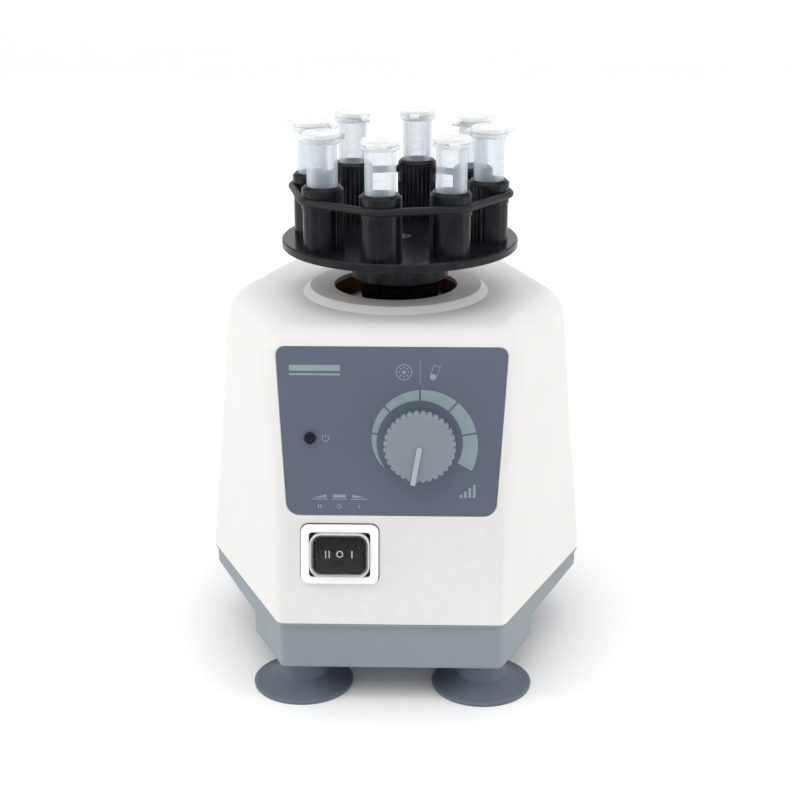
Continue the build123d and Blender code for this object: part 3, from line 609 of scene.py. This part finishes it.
class MIXER_OT_feet(MixerOperator, bpy.types.Operator):
    """Four suction feet"""

    bl_idname = "mixer.feet"
    bl_label = "Suction feet"

    def execute(self, context):
        finish = rubber("foot_rubber", colours().feet, 0.42, 0.58)
        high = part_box("suction_feet")[1]
        rim, neck, stud, seat = 0.0178, 0.0086, 0.0031, 0.0132
        stud_top, cup_roof = 0.0158, 0.0048
        reach_x, reach_y = high.x - rim, high.y - rim
        skirt = [
            (rim, 0.0010), (0.0172, 0.0015), (0.0150, 0.0019), (0.0122, 0.0029),
            (0.0102, 0.0040), (0.0094, 0.0046), (0.0088, 0.0050), (neck, 0.0057),
        ]
        cup = [(0.0069, 0.0046), (neck, 0.0029), (0.0105, 0.0021), (0.0136, 0.0010)]
        profile = [(0.0, cup_roof)] + soften(cup) + [(0.0162, 0.0), (0.0176, 0.0)]
        profile += soften(skirt) + [(neck, seat), (stud, seat), (stud, stud_top), (0.0, stud_top)]
        bm = bmesh.new()
        for sx in (-1, 1):
            for sy in (-1, 1):
                lathe(bm, profile, 96, (sx * reach_x, sy * reach_y))
        mesh_data = new_mesh("suction_feet_soft", bm)
        publish("suction_feet_soft", mesh_data, finish, "base", ["suction_feet"])
        return {"FINISHED"}


class MIXER_OT_film(MixerOperator, bpy.types.Operator):
    """Printed film of the control face, its scale and symbols, and the lamp"""

    bl_idname = "mixer.film"
    bl_label = "Control film"

    def execute(self, context):
        film = Finish("film_satin", specular=0.35)
        film.mottle(colours().film, 0.03, 25.0)
        film.uneven_gloss(0.44, 0.54, 90.0)
        film.bump(film.noise(1800.0, 2.0), 0.08, 0.00003)
        clad(["control_panel"], film)

        lens = Finish("lamp_lens_dark", specular=0.2)
        lens.mottle((0.005, 0.006, 0.010), 0.2, 400.0)
        lens.uneven_gloss(0.12, 0.22, 600.0)
        lens.bump(lens.noise(900.0, 2.0), 0.04, 0.00002)
        clad(["lamp"], lens)

        pale = ink("ink_pale", colours().print_pale)
        thickness = shape().print_thickness
        place = face_matrix(0.0, 0.0, FILM_LEVEL)
        self.dial_scale(pale, place, thickness)
        self.symbols(pale, place, thickness)
        return {"FINISHED"}

    def dial_scale(self, finish, place, thickness):
        """Six segments of a band that widens steadily from the slow end to the fast end."""
        cx, cy, inner_radius, widest, swell = 0.0095, 0.0639, 0.0146, 0.0055, 0.65
        stops = (-126.0, -78.6, -43.8, 0.0, 42.0, 79.5, 118.0)
        half_gap, lead_in, steps = 1.1, 0.5, 26
        bm = bmesh.new()
        for start, stop in zip(stops, stops[1:]):
            first = start + (half_gap if start > stops[0] else lead_in)
            final = stop - (half_gap if stop < stops[-1] else 0.0)
            inner, outer = [], []
            for k in range(steps + 1):
                degrees = first + (final - first) * k / steps
                share = (degrees - stops[0]) / (stops[-1] - stops[0])
                a = math.radians(degrees)
                width = widest * share ** swell
                for line, reach in ((inner, inner_radius), (outer, inner_radius + width)):
                    line.append((cx + reach * math.sin(a), cy + reach * math.cos(a)))
            band_strip(bm, inner, outer, place, 0.0, thickness)
        mesh_data = new_mesh("dial_scale_print", bm)
        publish("dial_scale_print", mesh_data, finish, "base")

    def symbols(self, finish, place, thickness):
        """Stripes and symbols of the film, drawn in millimetres on the control face."""
        mm = 0.001
        bm = bmesh.new()

        def patch(points):
            prism(bm, [(x * mm, y * mm) for x, y in points], place, 0.0, thickness)

        def bar(x0, y0, x1, y1):
            patch([(x0, y0), (x1, y0), (x1, y1), (x0, y1)])

        def dot(x, y, radius, count):
            prism(bm, circle_points(x * mm, y * mm, radius * mm, count), place, 0.0, thickness)

        def ring(x, y, r_in, r_out, count):
            ring_print(bm, x * mm, y * mm, r_in * mm, r_out * mm, place, 0.0, thickness, count)

        # plain stripes in the upper left corner
        for y0, y1 in ((88.4, 90.4), (86.9, 87.5)):
            bar(-34.6, y0, -17.4, y1)
        # platform seen from above
        hub_x, hub_y, pitch = 4.1, 88.1, 1.6
        ring(hub_x, hub_y, 2.45, 2.72, 48)
        dot(hub_x, hub_y, 0.62, 20)
        for k in range(TUBE_COUNT):
            a = 2.0 * math.pi * k / TUBE_COUNT
            dot(hub_x + pitch * math.cos(a), hub_y + pitch * math.sin(a), 0.28, 12)
        # broken line between the two symbols
        dashes, dash_step = 9, 0.93
        for k in range(dashes):
            bar(9.45, 84.2 + dash_step * k, 9.8, 84.62 + dash_step * k)
        # tilted tube
        c, s = math.cos(math.radians(-20)), math.sin(math.radians(-20))

        def tilted(x, y):
            return (14.4 + c * x - s * y, 88.0 + s * x + c * y)

        half, bend, brim, lip, fill = 1.15, -1.4, 2.5, 1.35, -0.6
        walls = ((-half, bend, -0.95, brim), (0.95, bend, half, brim), (-lip, 2.3, lip, brim))
        for x0, y0, x1, y1 in walls:
            patch([tilted(x0, y0), tilted(x1, y0), tilted(x1, y1), tilted(x0, y1)])
        bottom = circle_points(0.0, bend, half, 11, math.pi, 2.0 * math.pi, False)
        liquid = [(-half, fill)] + bottom + [(half, fill)]
        patch([tilted(x, y) for x, y in liquid])
        # mains symbol beside the lamp: broken ring and bar
        start, stop = math.radians(125.0), math.radians(415.0)
        arc, rim = (
            circle_points(-22.4 * mm, 65.4 * mm, radius * mm, 30, start, stop, False)
            for radius in (1.05, 1.3)
        )
        band_strip(bm, arc, rim, place, 0.0, thickness)
        bar(-22.52, 65.5, -22.28, 67.0)
        # rocker positions: ramp, block, ramp, each on its line
        low, high = 44.75, 45.75
        for points, x0, x1 in (
            ([(-26.6, low), (-22.2, low), (-22.2, high)], -27.2, -21.7),
            ([(-19.9, low), (-15.6, low), (-15.6, high), (-19.9, high)], -20.4, -15.1),
            ([(-13.3, low), (-8.9, low), (-13.3, high)], -13.8, -8.3),
        ):
            patch(points)
            bar(x0, 44.05, x1, 44.3)
        # two bars, ring, one bar under them
        for x in (-25.0, -24.2, -11.2):
            bar(x, 40.9, x + 0.3, 42.3)
        ring(-17.75, 41.6, 0.5, 0.75, 28)
        # growing bars at the fast end of the dial
        for k in range(4):
            bar(23.2 + 1.5 * k, 45.0, 24.1 + 1.5 * k, 46.1 + 1.15 * k)
        mesh_data = new_mesh("film_symbols_print", bm)
        publish("film_symbols_print", mesh_data, finish, "base")


class MIXER_OT_knob(MixerOperator, bpy.types.Operator):
    """Toothed speed knob with its pointer"""

    bl_idname = "mixer.knob"
    bl_label = "Speed knob"

    def execute(self, context):
        radius, teeth = shape().knob_radius, shape().knob_teeth
        place = face_matrix(KNOB_CENTRE[0], KNOB_CENTRE[1], 0.0)
        low, top, shoulder, groove = 0.0005, 0.0124, 0.0016, 0.0009
        count = teeth * 10

        def outline(scale, depth):
            points = []
            for k in range(count):
                a = 2.0 * math.pi * k / count
                phase = abs(math.sin(0.5 * teeth * a))
                r = radius * scale - depth * (1.0 - phase) ** 1.4
                points.append((r * math.cos(a), r * math.sin(a)))
            return points

        # a smooth foot, a flared body, then the toothed rim
        body = (
            (0.62, 0.0, low), (0.83, 0.0, low), (0.85, 0.0002, low + 0.0004),
            (0.965, 0.0007, top - 0.0046), (0.995, groove, top - 0.0038), (1.0, groove, top - shoulder),
        )
        levels = [(outline(scale, depth), height) for scale, depth, height in body]
        round_steps = 5
        for step in range(1, round_steps + 1):
            a = math.pi / 2 * step / round_steps
            depth = groove * math.cos(a) ** 0.5 if step < round_steps else 0.0
            scale = 1.0 - 0.075 * (1.0 - math.cos(a))
            levels.append((outline(scale, depth), top - shoulder + 0.0012 * math.sin(a)))
        crown = ((0.86, -0.00030), (0.78, -0.00022), (0.6, -0.00012), (0.35, -0.00004), (0.12, 0.0))
        levels += [(outline(scale, 0.0), top + rise) for scale, rise in crown]
        bm = bmesh.new()
        stacked(bm, levels, place, close_low=False)
        knob_mesh = new_mesh("speed_knob_fine", bm)
        finish = moulding("knob_satin", colours().knob, 0.34, 0.44, grain=2200.0, strength=0.05)
        publish("speed_knob_fine", knob_mesh, finish, "knob", ["speed_knob"], 50.0)

        rib = moulding("pointer_satin", colours().pointer, 0.34, 0.44, grain=2200.0, strength=0.05)
        clad(["knob_pointer"], rib)
        clad(["knob_shaft"], metal("shaft_steel", (0.6, 0.6, 0.62)))
        return {"FINISHED"}


class MIXER_OT_switch(MixerOperator, bpy.types.Operator):
    """Rocker switch in its white frame, under a clear cover"""

    bl_idname = "mixer.switch"
    bl_label = "Rocker switch"

    def execute(self, context):
        bezel = moulding("bezel_gloss", colours().bezel, 0.22, 0.3, 2400.0, 0.03, 0.5)
        clad(["switch_bezel"], bezel)
        black = Finish("switch_black", specular=0.2)
        black.mottle((0.005, 0.005, 0.006), 0.15, 120.0)
        black.uneven_gloss(0.2, 0.32, 220.0)
        black.bump(black.noise(1900.0, 2.0), 0.05, 0.00002)
        clad(["switch_body", "rocker"], black)

        place = face_matrix(SWITCH_CENTRE[0], SWITCH_CENTRE[1], 0.0)
        width, depth, wall, base, height = 0.0202, 0.0152, 0.0005, 0.0010, 0.0033
        outer = self.dome(width, depth, 0.0039, base, height)
        outer.append((rounded_rectangle(width * 0.5, depth * 0.5, 0.0022), base + height * 1.01))
        inner = self.dome(width - 2.0 * wall, depth - 2.0 * wall, 0.0034, base, height - 0.0006)
        bm = bmesh.new()
        stacked(bm, outer, place, close_low=False)
        stacked(bm, inner, place, close_low=False)
        rim_out, rim_in = (
            [bm.verts.new(place @ Vector((x, y, base))) for x, y in skin[0][0]] for skin in (outer, inner)
        )
        for k in range(len(rim_out)):
            n = (k + 1) % len(rim_out)
            bm.faces.new((rim_out[k], rim_out[n], rim_in[n], rim_in[k]))
        bmesh.ops.remove_doubles(bm, verts=bm.verts, dist=1e-6)
        clear = Finish("clear_vinyl", specular=0.3)
        clear.mottle((0.90, 0.91, 0.93), 0.02, 90.0)
        facing = clear.add("ShaderNodeLayerWeight")
        facing.inputs["Blend"].default_value = 0.28
        edge = clear.math("POWER", facing.outputs["Facing"], 1.3)
        clear.link(clear.span(edge, 0.0, 0.95), clear.shader.inputs["Alpha"])
        clear.uneven_gloss(0.03, 0.07, 90.0)
        clear.bump(clear.noise(160.0, 2.0), 0.03, 0.00004)
        mesh_data = new_mesh("splash_cover_clear", bm)
        publish("splash_cover_clear", mesh_data, clear, "base", ["splash_cover"])
        # pale beads along the cover's edges: painted highlight
        self.highlight_beads(place, outer[2][0], base, base + height * 0.66)
        # dark strip round the raised frame: painted shadow line
        self.shadow_line_gasket(place)
        self.marks()
        return {"FINISHED"}

    def dome(self, width, depth, corner, base, height):
        """Outlines of a soft rectangular dome, from its foot to its flat top."""
        levels = []
        steps = ((0.0, 0.0), (0.0, 0.45), (0.05, 0.68), (0.18, 0.86), (0.42, 0.96), (0.8, 1.0))
        for inset, share in steps:
            narrower = 2.0 * inset * 0.0017
            outline = rounded_rectangle(width - narrower, depth - narrower, corner - inset * 0.0012)
            levels.append((outline, base + height * share))
        return levels

    def highlight_beads(self, place, outline, foot, shoulder):
        """Pale milky beads at the clear cover's foot and round its shoulder: a painted highlight along
        its edges.
        """
        rim_highlight = Finish("vinyl_edge_painted_highlight", specular=0.4)
        rim_highlight.mottle((0.86, 0.87, 0.89), 0.04, 300.0)
        rim_highlight.shader.inputs["Alpha"].default_value = 0.72
        rim_highlight.uneven_gloss(0.12, 0.2, 200.0)
        rim_highlight.bump(rim_highlight.noise(500.0, 2.0), 0.04, 0.00003)
        bm = bmesh.new()
        for level, reach in ((foot + 0.00025, 0.00022), (shoulder, 0.00026)):
            loop_bead(bm, outline, place, level, reach)
        publish("splash_cover_painted_highlights", new_mesh("splash_cover_painted_highlights", bm), rim_highlight, "base")

    def shadow_line_gasket(self, place):
        """Dark gasket strip round the raised white frame: a painted shadow line of the frame."""
        shadow_rubber = rubber("gasket_rubber_painted_shadow", (0.03, 0.03, 0.034))
        width, depth, corner, lip = 0.0265, 0.0208, 0.0026, 0.0003
        inner = rounded_rectangle(width, depth, corner)
        outer = rounded_rectangle(width + 2.0 * lip, depth + 2.0 * lip, corner + lip)
        bm = bmesh.new()
        band_strip(bm, inner + inner[:1], outer + outer[:1], place, 0.00002, 0.00018)
        publish("bezel_gasket_painted_shadow", new_mesh("bezel_gasket_painted_shadow", bm), shadow_rubber, "base")

    def marks(self):
        """Two bars, ring and one bar, moulded into the rocker and filled white."""
        white = ink("ink_white", (0.62, 0.63, 0.64))
        bm = bmesh.new()
        slope = math.atan2(0.0008, 0.0084)
        low = 0.00002
        high = low + shape().print_thickness
        half_wide, half_tall = 0.00018, 0.0013
        for side, shifts in ((-1, (-0.0006, 0.0006)), (1, (0.0,))):
            tilt = Matrix.Rotation(-side * slope, 4, "Y")
            place = face_matrix(SWITCH_CENTRE[0] + side * 0.0042, SWITCH_CENTRE[1], 0.0013) @ tilt
            for shift in shifts:
                left, right = shift - half_wide, shift + half_wide
                bar = [(left, -half_tall), (right, -half_tall), (right, half_tall), (left, half_tall)]
                prism(bm, bar, place, low, high)
            place = face_matrix(SWITCH_CENTRE[0], SWITCH_CENTRE[1], 0.0009) @ tilt
            start = -side * math.pi / 2
            inner, outer = (
                circle_points(0.0, 0.0, radius, 18, start, start + math.pi, False)
                for radius in (0.00085, 0.0012)
            )
            band_strip(bm, inner, outer, place, low, high)
        publish("rocker_marks", new_mesh("rocker_marks", bm), white, "rocker")


class MIXER_OT_back(MixerOperator, bpy.types.Operator):
    """Mains inlet, pins, fuse holder and the screws"""

    bl_idname = "mixer.back"
    bl_label = "Inlet, fuse and screws"

    def execute(self, context):
        black = moulding("inlet_moulding", (0.014, 0.014, 0.016), 0.42, 0.55, grain=1300.0)
        clad(["mains_inlet", "fuse_holder"], black)
        clad(["inlet_pins"], metal("pin_nickel", (0.72, 0.69, 0.62), 0.2, 0.3))
        zinc = metal("screw_zinc", (0.62, 0.63, 0.66), 0.28, 0.42)
        clad(["inlet_screws", "housing_screws", "foot_screws", "motor_posts"], zinc)
        return {"FINISHED"}


class MIXER_OT_inside(MixerOperator, bpy.types.Operator):
    """Ballast, motor, rotor, touch start and control board"""

    bl_idname = "mixer.inside"
    bl_label = "Inner parts"

    def execute(self, context):
        iron = Finish("ballast_iron", specular=0.4)
        iron.mottle((0.035, 0.036, 0.038), 0.25, 160.0)
        iron.uneven_gloss(0.55, 0.75, 300.0)
        iron.bump(iron.noise(500.0, 5.0, 0.7), 0.35, 0.0002)
        clad(["ballast_plate"], iron)
        clad(["motor_mounts"], rubber("mount_rubber", (0.02, 0.02, 0.02)))
        clad(["motor_bottom_bracket", "motor_top_bracket", "cooling_fan"],
             metal("cast_aluminium", (0.6, 0.61, 0.63), 0.4, 0.55, EVEN))
        clad(["motor_bushes"], metal("sintered_bronze", (0.42, 0.26, 0.13), 0.4, 0.55, EVEN))
        clad(["motor_shaft", "eccentric", "bearing_inner_races", "bearing_outer_races"],
             metal("ground_steel", (0.62, 0.63, 0.65), 0.18, 0.28))

        core = Finish("laminated_steel", metallic=1.0)
        core.mottle((0.32, 0.32, 0.34), 0.12, 90.0)
        core.uneven_gloss(0.35, 0.5, 240.0)
        core.bump(core.wave(320.0, wave_type="BANDS", bands_direction="Z"), 0.5, 0.0001)
        clad(["stator_core", "rotor_core"], core)

        copper = Finish("enamelled_copper", metallic=0.85)
        copper.mottle((0.45, 0.15, 0.05), 0.15, 110.0)
        copper.uneven_gloss(0.22, 0.34, 300.0)
        copper.bump(copper.wave(420.0, wave_type="RINGS", rings_direction="Z"), 0.5, 0.0002)
        clad(["stator_coils"], copper)

        board = Finish("board_laminate", specular=0.5)
        out = board.mottle((0.01, 0.07, 0.03), 0.1, 60.0)
        tracks = board.add("ShaderNodeTexBrick")
        tracks.inputs["Scale"].default_value = 240.0
        tracks.inputs["Mortar Size"].default_value = 0.05
        board.link(board.place, tracks.inputs["Vector"])
        line = board.span(tracks.outputs["Fac"], 0.0, 0.6)
        board.link(board.mix(line, out, (0.03, 0.16, 0.06, 1.0)), board.shader.inputs["Base Color"])
        board.uneven_gloss(0.25, 0.35, 100.0)
        board.bump(tracks.outputs["Fac"], 0.2, 0.00004)
        clad(["control_board"], board)
        clad(["potentiometer"], metal("tinned_case", (0.55, 0.55, 0.55), 0.3, 0.42))
        clad(["touch_switch"], moulding("touch_switch_case", (0.02, 0.02, 0.022), 0.35, 0.45))
        clad(["switch_plunger"], moulding("plunger_acetal", (0.35, 0.02, 0.015), 0.3, 0.4))
        clad(["thrust_seat"], moulding("seat_acetal", (0.75, 0.75, 0.70), 0.35, 0.45))
        clad(["return_spring"], metal("spring_steel", (0.6, 0.6, 0.62), 0.22, 0.34))
        return {"FINISHED"}


class MIXER_OT_head(MixerOperator, bpy.types.Operator):
    """Head post, platform plate, sleeves and their elastic band"""

    bl_idname = "mixer.head"
    bl_label = "Orbital head"

    def execute(self, context):
        black = Finish("head_black", specular=0.16)
        out = black.mottle(colours().head, 0.10, 60.0)
        # lighter bluish convex edges: partly wear, partly a painted edge highlight
        black.edge_wear_and_highlight(out, (0.03, 0.033, 0.04), 0.6)
        black.uneven_gloss(0.20, 0.27, 60.0)
        turned = black.stretched((1.0, 1.0, 18.0))
        black.bump(black.noise(240.0, 2.0, 0.5, turned), 0.03, 0.00002)
        clad(["head_post", "platform_plate", "tube_sleeves"], black)
        clad(["platform_screw"], metal("plate_screw_steel", (0.4, 0.4, 0.42), 0.25, 0.36))
        clad(["retaining_band"], rubber("band_elastomer", colours().band, 0.38, 0.5, 0.22))
        self.flutes(black)
        return {"FINISHED"}

    def flutes(self, finish):
        """Fine upright ribs on the inner half of each sleeve."""
        bottom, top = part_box("tube_sleeves")
        ribs, radius, half_spread = 13, 0.00695, 78.0
        outline = circle_points(0.0, 0.0, 0.00042, 10)
        tip = circle_points(-0.0002, 0.0, 0.00015, 10)
        levels = [(outline, bottom.z), (outline, top.z - 0.0017), (tip, top.z - 0.0011)]
        bm = bmesh.new()
        for k in range(TUBE_COUNT):
            a, axis = sleeve_axis(k)
            for n in range(ribs):
                turn = a + math.pi + math.radians(-half_spread + 2.0 * half_spread * n / (ribs - 1))
                place = axis @ Matrix.Rotation(turn, 4, "Z") @ Matrix.Translation((radius, 0.0, 0.0))
                stacked(bm, levels, place)
        mesh_data = new_mesh("sleeve_flutes", bm)
        publish("sleeve_flutes", mesh_data, finish, "head", smooth_angle=60.0)


class MIXER_OT_tubes(MixerOperator, bpy.types.Operator):
    """Eight microtubes with graduation lines"""

    bl_idname = "mixer.tubes"
    bl_label = "Microtubes"

    def execute(self, context):
        finish = polypropylene("tube_polypropylene", colours().tube, 0.15, 0.74, 0.16, 0.24)
        r = shape().tube_radius
        foot, brim, rim, bore = 0.1523, TUBE_RIM_TOP, TUBE_RIM_RADIUS, 0.0045
        outer = [
            (0.0012, foot), (0.0022, foot + 0.0009), (r, foot + 0.0175), (r, brim - 0.0030),
        ]
        flange = [
            (r, brim - 0.0017), (rim - 0.0004, brim - 0.0016), (rim, brim - 0.0012), (rim, brim - 0.0003),
            (rim - 0.0003, brim), (0.0047, brim), (bore, brim - 0.0002),
        ]
        inner = [(bore, foot + 0.0180), (0.0014, foot + 0.0018), (0.0, foot + 0.0013)]
        profile = [(0.0, foot)] + soften(outer, 1) + flange + inner
        for k in range(TUBE_COUNT):
            place = sleeve_place(k)
            bm = bmesh.new()
            lathe(bm, profile, 64, turn=place)
            self.lug(bm, place, brim)
            for height, half_angle in ((0.1762, 0.8), (0.1792, 0.5), (0.1822, 0.8)):
                self.tick(bm, place, r, height, half_angle)
            name, node = f"tube_{k + 1}_frosted", f"tube_{k + 1}"
            publish(name, new_mesh(name, bm), finish, node, [node])
        return {"FINISHED"}

    def lug(self, bm, place, brim):
        """Root of the lid strap on the rim."""
        outline = [(0.0060, -0.0021), (0.0071, -0.0019), (0.0071, 0.0019), (0.0060, 0.0021)]
        stacked(bm, [(outline, brim - 0.0013), (outline, brim - 0.0003)], place)

    def tick(self, bm, place, radius, height, half_angle):
        """One raised graduation line."""
        count, half_width, sunk = 14, 0.00014, 0.00001
        turned = place @ Matrix.Rotation(math.pi, 4, "Z")
        rows = []
        for level, lift in ((-half_width, 0.0), (0.0, 0.00008), (half_width, 0.0)):
            line = circle_points(0.0, 0.0, radius + lift - sunk, count, -half_angle, half_angle, False)
            rows.append([bm.verts.new(turned @ Vector((x, y, height + level))) for x, y in line])
        for low, high in zip(rows, rows[1:]):
            for k in range(count - 1):
                bm.faces.new((low[k], low[k + 1], high[k + 1], high[k]))


class MIXER_OT_lids(MixerOperator, bpy.types.Operator):
    """Eight hinged lids with thumb tabs and straps"""

    bl_idname = "mixer.lids"
    bl_label = "Tube lids"

    def execute(self, context):
        finish = polypropylene("lid_polypropylene", colours().lid, 0.42, 0.86, 0.2, 0.30)
        low, top, rim, plug = 0.1908, 0.1925, TUBE_RIM_RADIUS, 0.0033
        profile = [
            (0.0, low), (plug, low), (plug, low - 0.0022), (0.0036, low - 0.0023), (0.0041, low - 0.0018),
            (0.00415, low), (rim - 0.0002, low), (rim, low + 0.0002), (rim, top - 0.0004),
            (rim - 0.0004, top), (0.0053, top), (0.0050, top - 0.0002), (0.0048, top - 0.0004),
            (0.0, top - 0.0004),
        ]
        for k in range(TUBE_COUNT):
            place = sleeve_place(k)
            bm = bmesh.new()
            lathe(bm, profile, 64, turn=place)
            self.tab(bm, place, low)
            self.strap(bm, place)
            name, node = f"lid_{k + 1}_frosted", f"lid_{k + 1}"
            publish(name, new_mesh(name, bm), finish, node, [node])
        return {"FINISHED"}

    def tab(self, bm, place, low):
        """Thumb tab opposite the strap, with a rounded end and small ribs."""
        root, end, half_root, half_end, steps = -0.0058, -0.0078, 0.0037, 0.0034, 8
        outline = [(root, -half_root), (end, -half_end)]
        for k in range(steps + 1):
            a = math.pi / 2 + math.pi * k / steps
            outline.append((end + 0.0020 * math.cos(a), -half_end * math.sin(a)))
        outline += [(end, half_end), (root, half_root)]
        inner = [(x * 0.985, y * 0.94) for x, y in outline]
        levels = [(inner, low), (outline, low + 0.0002), (outline, low + 0.0008), (inner, low + 0.0010)]
        stacked(bm, levels, place)
        for n in range(3):
            x = -0.0075 - 0.0007 * n
            rib = []
            for width, half, rise in ((0.0003, 0.0016, 0.00095), (0.0002, 0.0015, 0.00115)):
                rib.append(([(x, -half), (x + width, -half), (x + width, half), (x, half)], low + rise))
            stacked(bm, rib, place)

    def strap(self, bm, place):
        """Thin web that loops over the hinge line."""
        path = soften([
            (0.0060, 0.1913), (0.0070, 0.1914), (0.0079, 0.1912), (0.0086, 0.1907), (0.0088, 0.1900),
            (0.0085, 0.1894), (0.0080, 0.1893),
        ])
        half, thick = 0.0017, 0.00035
        rails = []
        for k, (x, z) in enumerate(path):
            x0, z0 = path[max(k - 1, 0)]
            x1, z1 = path[min(k + 1, len(path) - 1)]
            length = math.hypot(x1 - x0, z1 - z0)
            nx, nz = (z0 - z1) / length * thick / 2, (x1 - x0) / length * thick / 2
            rails.append([
                bm.verts.new(place @ Vector((x + side * nx, y, z + side * nz)))
                for side, y in ((1, -half), (1, half), (-1, half), (-1, -half))
            ])
        for near, far in zip(rails, rails[1:]):
            for j in range(4):
                n = (j + 1) % 4
                bm.faces.new((near[j], near[n], far[n], far[j]))
        bm.faces.new(rails[0])
        bm.faces.new(list(reversed(rails[-1])))


class MIXER_PT_panel(bpy.types.Panel):
    """Operators and settings of the mixer"""

    bl_idname = "MIXER_PT_panel"
    bl_label = "Bench vortex mixer"
    bl_space_type = "VIEW_3D"
    bl_region_type = "UI"
    bl_category = "Mixer"

    def draw(self, context):
        column = self.layout.column(align=True)
        for operator in OPERATORS:
            column.operator(operator.bl_idname)
        for group in (context.scene.mixer_colours, context.scene.mixer_shape):
            for key in group.__annotations__:
                self.layout.prop(group, key)


OPERATORS = (
    MIXER_OT_stage, MIXER_OT_housing, MIXER_OT_feet, MIXER_OT_film, MIXER_OT_knob, MIXER_OT_switch,
    MIXER_OT_back, MIXER_OT_inside, MIXER_OT_head, MIXER_OT_tubes, MIXER_OT_lids,
)
GROUPS = (MixerColours, MixerShape)


def register():
    for item in GROUPS + OPERATORS + (MIXER_PT_panel,):
        bpy.utils.register_class(item)
    bpy.types.Scene.mixer_colours = PointerProperty(type=MixerColours)
    bpy.types.Scene.mixer_shape = PointerProperty(type=MixerShape)


def unregister():
    del bpy.types.Scene.mixer_shape
    del bpy.types.Scene.mixer_colours
    for item in reversed(GROUPS + OPERATORS + (MIXER_PT_panel,)):
        bpy.utils.unregister_class(item)


def main():
    register()
    for operator in OPERATORS:
        getattr(bpy.ops.mixer, operator.bl_idname.split(".")[1])()
    bpy.context.view_layer.update()


if __name__ == "__main__":
    main()
